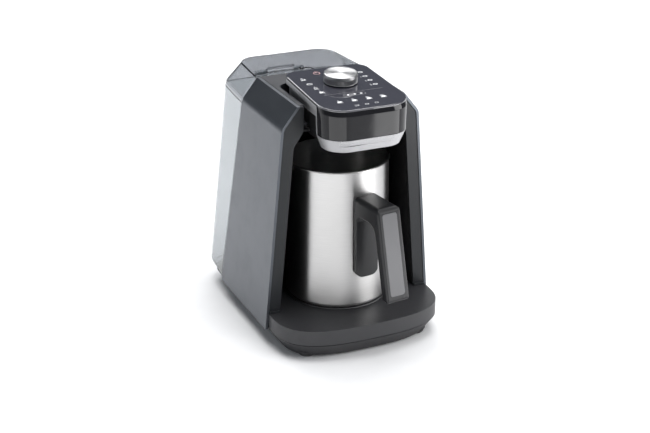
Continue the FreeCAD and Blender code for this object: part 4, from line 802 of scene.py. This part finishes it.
class DressDial(bpy.types.Operator):
    """Spun aluminium dial cap with a fine ribbed band, in place of the plain one"""
    bl_idname = "coffee.dress_dial"
    bl_label = "Dial"

    def execute(self, context):
        options = context.scene.coffee_dial
        radius, wall, top = DIAL_RADIUS, DIAL_WALL, DIAL_TOP
        low, band_low, band_high = DIAL_FOOT, BAND_LOW, BAND_HIGH
        dish = options.dish
        profile = [
            (radius - wall, top - 1.5 * MM), (radius - wall, low), (radius - 0.35 * MM, low),
            (radius - 0.1 * MM, low + 0.2 * MM), (radius - 0.1 * MM, band_low),
            (radius - 0.05 * MM, band_low + 0.25 * MM), (radius - 0.05 * MM, band_high - 0.25 * MM),
            (radius - 0.45 * MM, band_high), (radius - 0.45 * MM, band_high + 0.35 * MM),
            (radius, band_high + 0.6 * MM), (radius, top - 0.75 * MM),
            (radius - 0.15 * MM, top - 0.40 * MM), (radius - 0.85 * MM, top - 0.02 * MM),
            (radius - 1.15 * MM, top),
            (radius - 1.35 * MM, top - 0.06 * MM), (radius - 1.6 * MM, top - dish),
            (radius - 2.2 * MM, top - dish - 0.03 * MM), (radius * 0.6, top - dish * 0.75),
            (radius * 0.3, top - dish * 0.55), (0.4 * MM, top - dish * 0.45)]
        ribs, depth = options.ribs, options.rib_depth

        def ribbed(index, angle):
            if index in BAND_POINTS:
                return -depth * (0.5 + 0.5 * math.cos(ribs * angle))
            return 0.0

        steps = 8 * ribs
        cap = add_mesh("dial_cap", lathe(profile, steps, ribbed), spun("spun dial aluminium"),
                       "dial", dial_matrix())
        sharpen(cap, CREASE_DEGREES)
        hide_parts("knob_cap")
        dress(moulded("dial core plastic", CORE_BLACK, 0.5), "knob_core")
        return {"FINISHED"}


class FitValveSpring(bpy.types.Operator):
    """Valve spring that shortens as the valve is pressed"""
    # Valve spring, copied as a fixed coil that rides with the tank
    bl_idname = "coffee.fit_valve_spring"
    bl_label = "Valve spring"

    def execute(self, context):
        low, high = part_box("valve_spring")
        travel = max(abs(limit) for limit in joint_named("valve_press")["range_m"])
        coil = bpy.data.objects.new("valve_coil", NODES["valve_spring"].data.copy())
        context.scene.collection.objects.link(coil)
        coil.matrix_world = NODES["valve_spring"].matrix_world.copy()
        context.view_layer.update()
        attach(coil, "tank")
        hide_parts("valve_spring")
        1.0 - travel / (high[2] - low[2])
        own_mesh(coil)
        return {"FINISHED"}


# Places of the printed marks on the panel, in millimetres
CUP_COLUMNS, CUP_LEVEL, STEAM_LEVEL, STEAM_STEP = (-22.2, -7.5, 7.3, 22.0), -75.2, -72.6, 1.1
LEFT_MARKS = (
    (-31.1, -11.2, "cup"), (-29.8, -23.7, "bean"), (-28.5, -35.2, "drop"), (-27.8, -47.0, "full cup"))
RIGHT_BEANS = ((29.0, -10.5), (28.6, -21.8), (28.6, -33.0), (28.8, -44.2))
STRENGTH_COLUMNS, STRENGTH_LEVEL = (-7.2, -0.4, 6.2), -61.0
CAPSULE_LEFT, CAPSULE_RIGHT, CAPSULE_RADIUS = -8.6, 7.6, 2.9
DIVIDER_LEVEL, DIVIDER_COLUMNS = -55.0, range(-29, 32, 2)
LOW_CUP, LOW_BEAN, LOW_RING = (-10.5, -87.4), (-0.4, -87.3), (9.6, -87.0)
START_RING, MENU_RING = (-11.6, 1.2), (3.0, 2.4)


class PrintMarks(bpy.types.Operator):
    """Printed touch marks on the control plate: plain cups, beans, drops and a start ring"""
    bl_idname = "coffee.print_marks"
    bl_label = "Panel marks"

    def execute(self, context):
        options = context.scene.coffee_marks
        line = options.line / MM
        thin = line * 0.8
        ink = printed("panel ink", options.ink)
        dim = printed("dim panel ink", shade(options.ink, 0.32))
        faint = printed("faint panel ink", shade(options.ink, 0.6))
        accent = printed("start mark ink", options.accent)

        cups = []
        for count, x in enumerate(CUP_COLUMNS, 1):
            cups += cup_mark(x, CUP_LEVEL, 4.0, True, line)
            for steam in range(count):
                offset = (steam - (count - 1) / 2) * STEAM_STEP
                cups += steam_mark(x + offset, STEAM_LEVEL, 1.8, thin)
        lay_marks("cup_count_marks", cups, ink)

        left = []
        for x, y, kind in LEFT_MARKS:
            if kind == "bean":
                left += bean_mark(x, y, 5.2, line)
            elif kind == "drop":
                left += drop_mark(x, y, 3.6, line) + stroke([(x - 2.4, y - 2.8), (x + 2.4, y - 2.8)], line)
            else:
                left += cup_mark(x, y, 3.6, kind == "full cup", line) + steam_mark(x, y + 2.2, 2.4, line)
        lay_marks("left_touch_marks", left, ink)

        right = []
        for level, (x, y) in enumerate(RIGHT_BEANS):
            right += bean_mark(x, y, 4.4, line)
            for spot in range(level + 1):
                right += dot(x - 4.6, y - 1.5 + spot, 0.35)
        lay_marks("right_touch_marks", right, ink)

        strength = []
        for x in STRENGTH_COLUMNS:
            strength += dot(x, STRENGTH_LEVEL, 1.15)
        lay_marks("strength_marks", strength, ink)
        capsule = arc(CAPSULE_RIGHT, STRENGTH_LEVEL, CAPSULE_RADIUS, -90, 90)
        capsule += arc(CAPSULE_LEFT, STRENGTH_LEVEL, CAPSULE_RADIUS, 90, 270)
        lay_marks("strength_outline", stroke(capsule, line * 0.5, True), dim)

        low_row = cup_mark(*LOW_CUP, 3.2, False, thin) + bean_mark(*LOW_BEAN, 3.6, thin)
        lay_marks("lower_marks", low_row + circle(*LOW_RING, 1.6, thin), faint)
        divider = stroke([(x, DIVIDER_LEVEL) for x in DIVIDER_COLUMNS], line * 0.45)
        lay_marks("divider_line", divider, dim)

        x, y = START_RING
        start = circle(x, y, 3.1, line) + stroke([(x, y + 0.4), (x, y + 4.4)], line)
        lay_marks("start_mark", start, accent)
        lay_marks("menu_mark", circle(*MENU_RING, 2.4, line) + dot(*MENU_RING, 0.8), ink)
        return {"FINISHED"}


TRIM_LEFT, TRIM_RIGHT, TRIM_LOW, TRIM_HIGH = -30.2 * MM, 24.0 * MM, 210.6 * MM, 216.5 * MM


class AddTrimPlate(bpy.types.Operator):
    """Bare raised plate on the silver band under the fascia"""
    bl_idname = "coffee.add_trim_plate"
    bl_label = "Trim plate"

    def execute(self, context):
        silver = shade(context.scene.coffee_finish.silver, 1.05)
        finish = moulded("bare plate silver", silver, 0.24, metallic=0.9, edge_highlight=1.1, spread=0.03)
        front_plate("bare_trim_plate", TRIM_LEFT, TRIM_RIGHT, TRIM_LOW, TRIM_HIGH, "head_frame", finish,
                    "housing")
        return {"FINISHED"}


# Name, place, point it faces, width and height in metres, then the power's setting, its share and the tint
SOFTBOXES = (
    ("overhead_softbox", (0.10, 0.25, 1.75), (0.0, 0.10, 0.0), 1.5, 1.3, "key", 1.0, WHITE),
    ("back_floor_softbox", (0.3, 2.0, 1.9), (0.3, 1.3, 0.0), 2.2, 1.0, "back", 1.0, WHITE),
    ("left_softbox", (-1.7, 0.9, 0.65), (0.0, 0.05, 0.20), 1.4, 0.5, "side", 1.0, COOL_WHITE),
    ("front_softbox", (0.6, -1.2, 1.9), (0.1, -0.25, 0.05), 1.3, 0.9, "front", 1.0, WHITE),
    ("right_softbox", (1.55, -1.00, 0.82), (0.0, -0.05, 0.18), 1.2, 0.6, "right", 1.0, WHITE),
    ("low_left_card", (-0.33, -0.40, 0.055), (-0.034, -0.094, 0.10), 0.75, 0.11, "cards", 0.85, WHITE),
    ("low_right_card", (0.40, -0.48, 0.06), (0.024, -0.098, 0.12), 0.40, 0.12, "cards", 1.0, WHITE),
)
CAMERA_PLACE, CAMERA_TARGET = (-0.5332, -1.19449, 0.6551), (-0.00099, 0.00543, 0.09944)
LENS, SENSOR_WIDTH = 78.67, 36.0  # millimetres
NEAREST, FARTHEST = 0.05, 30.0  # metres that the camera sees
FLOOR_REACH = 6.0


def set_up(name, data, place, target):
    """Puts a light or camera in its place, facing a point."""
    holder = bpy.data.objects.new(name, data)
    holder.location = place
    holder.rotation_euler = (Vector(target) - Vector(place)).to_track_quat("-Z", "Y").to_euler()
    bpy.context.scene.collection.objects.link(holder)
    return holder


class BuildStudio(bpy.types.Operator):
    """Pale floor, soft boxes and the camera at the photograph's angle"""
    bl_idname = "coffee.build_studio"
    bl_label = "Studio"

    def execute(self, context):
        options = context.scene.coffee_studio
        floor_mesh = bmesh.new()
        bmesh.ops.create_grid(floor_mesh, x_segments=8, y_segments=8, size=FLOOR_REACH)
        data = bpy.data.meshes.new("studio_floor")
        floor_mesh.to_mesh(data)
        floor_mesh.free()
        floor = bpy.data.objects.new("studio_floor", data)
        context.scene.collection.objects.link(floor)
        paper = Finish("pale studio paper")
        data.materials.append(paper.surface({
            "Base Color": paper.blend(paper.noise(40.0, 3.0), PAPER_DARK, PAPER_LIGHT),
            "Roughness": 0.85, "Specular IOR Level": 0.1}))

        world = bpy.data.worlds.new("studio surroundings")
        world.use_nodes = True
        background = world.node_tree.nodes["Background"]
        background.inputs["Color"].default_value = SURROUNDINGS
        background.inputs["Strength"].default_value = options.ambient
        context.scene.world = world

        for name, place, target, width, height, setting, share, tint in SOFTBOXES:
            light = bpy.data.lights.new(name, "AREA")
            light.shape = "RECTANGLE"
            light.size, light.size_y = width, height
            light.energy = getattr(options, setting) * share
            light.color = tint
            set_up(name, light, place, target)

        camera = bpy.data.cameras.new("photo_camera")
        camera.lens, camera.sensor_width = LENS, SENSOR_WIDTH
        camera.clip_start, camera.clip_end = NEAREST, FARTHEST
        context.scene.camera = set_up("photo_camera", camera, CAMERA_PLACE, CAMERA_TARGET)
        context.scene.view_settings.view_transform = "Standard"
        return {"FINISHED"}


OPERATORS = (FinishShells, FinishBase, FinishHead, FinishPot, FinishTank, FinishInner, DressDial,
             FitValveSpring, PrintMarks, AddTrimPlate, BuildStudio)
SETTINGS = {"coffee_finish": FinishSettings, "coffee_dial": DialSettings, "coffee_marks": MarkSettings,
            "coffee_studio": StudioSettings}


class CoffeeMakerPanel(bpy.types.Panel):
    """Settings, and a button for each group of pieces and for the studio"""
    bl_idname = "VIEW3D_PT_coffee_maker"
    bl_label = "Coffee Maker"
    bl_space_type = "VIEW_3D"
    bl_region_type = "UI"
    bl_category = "Coffee Maker"

    def draw(self, context):
        for name in SETTINGS:
            group = getattr(context.scene, name)
            box = self.layout.box()
            for key in group.__annotations__:
                box.prop(group, key)
        for operator in OPERATORS:
            self.layout.operator(operator.bl_idname)


CLASSES = (*SETTINGS.values(), *OPERATORS, CoffeeMakerPanel)


def register():
    for item in CLASSES:
        bpy.utils.register_class(item)
    for name, kind in SETTINGS.items():
        setattr(bpy.types.Scene, name, PointerProperty(type=kind))


def unregister():
    for name in reversed(SETTINGS):
        delattr(bpy.types.Scene, name)
    for item in reversed(CLASSES):
        bpy.utils.unregister_class(item)


def main():
    register()
    for operator in OPERATORS:
        group, action = operator.bl_idname.split(".")
        getattr(getattr(bpy.ops, group), action)()


if __name__ == "__main__":
    main()
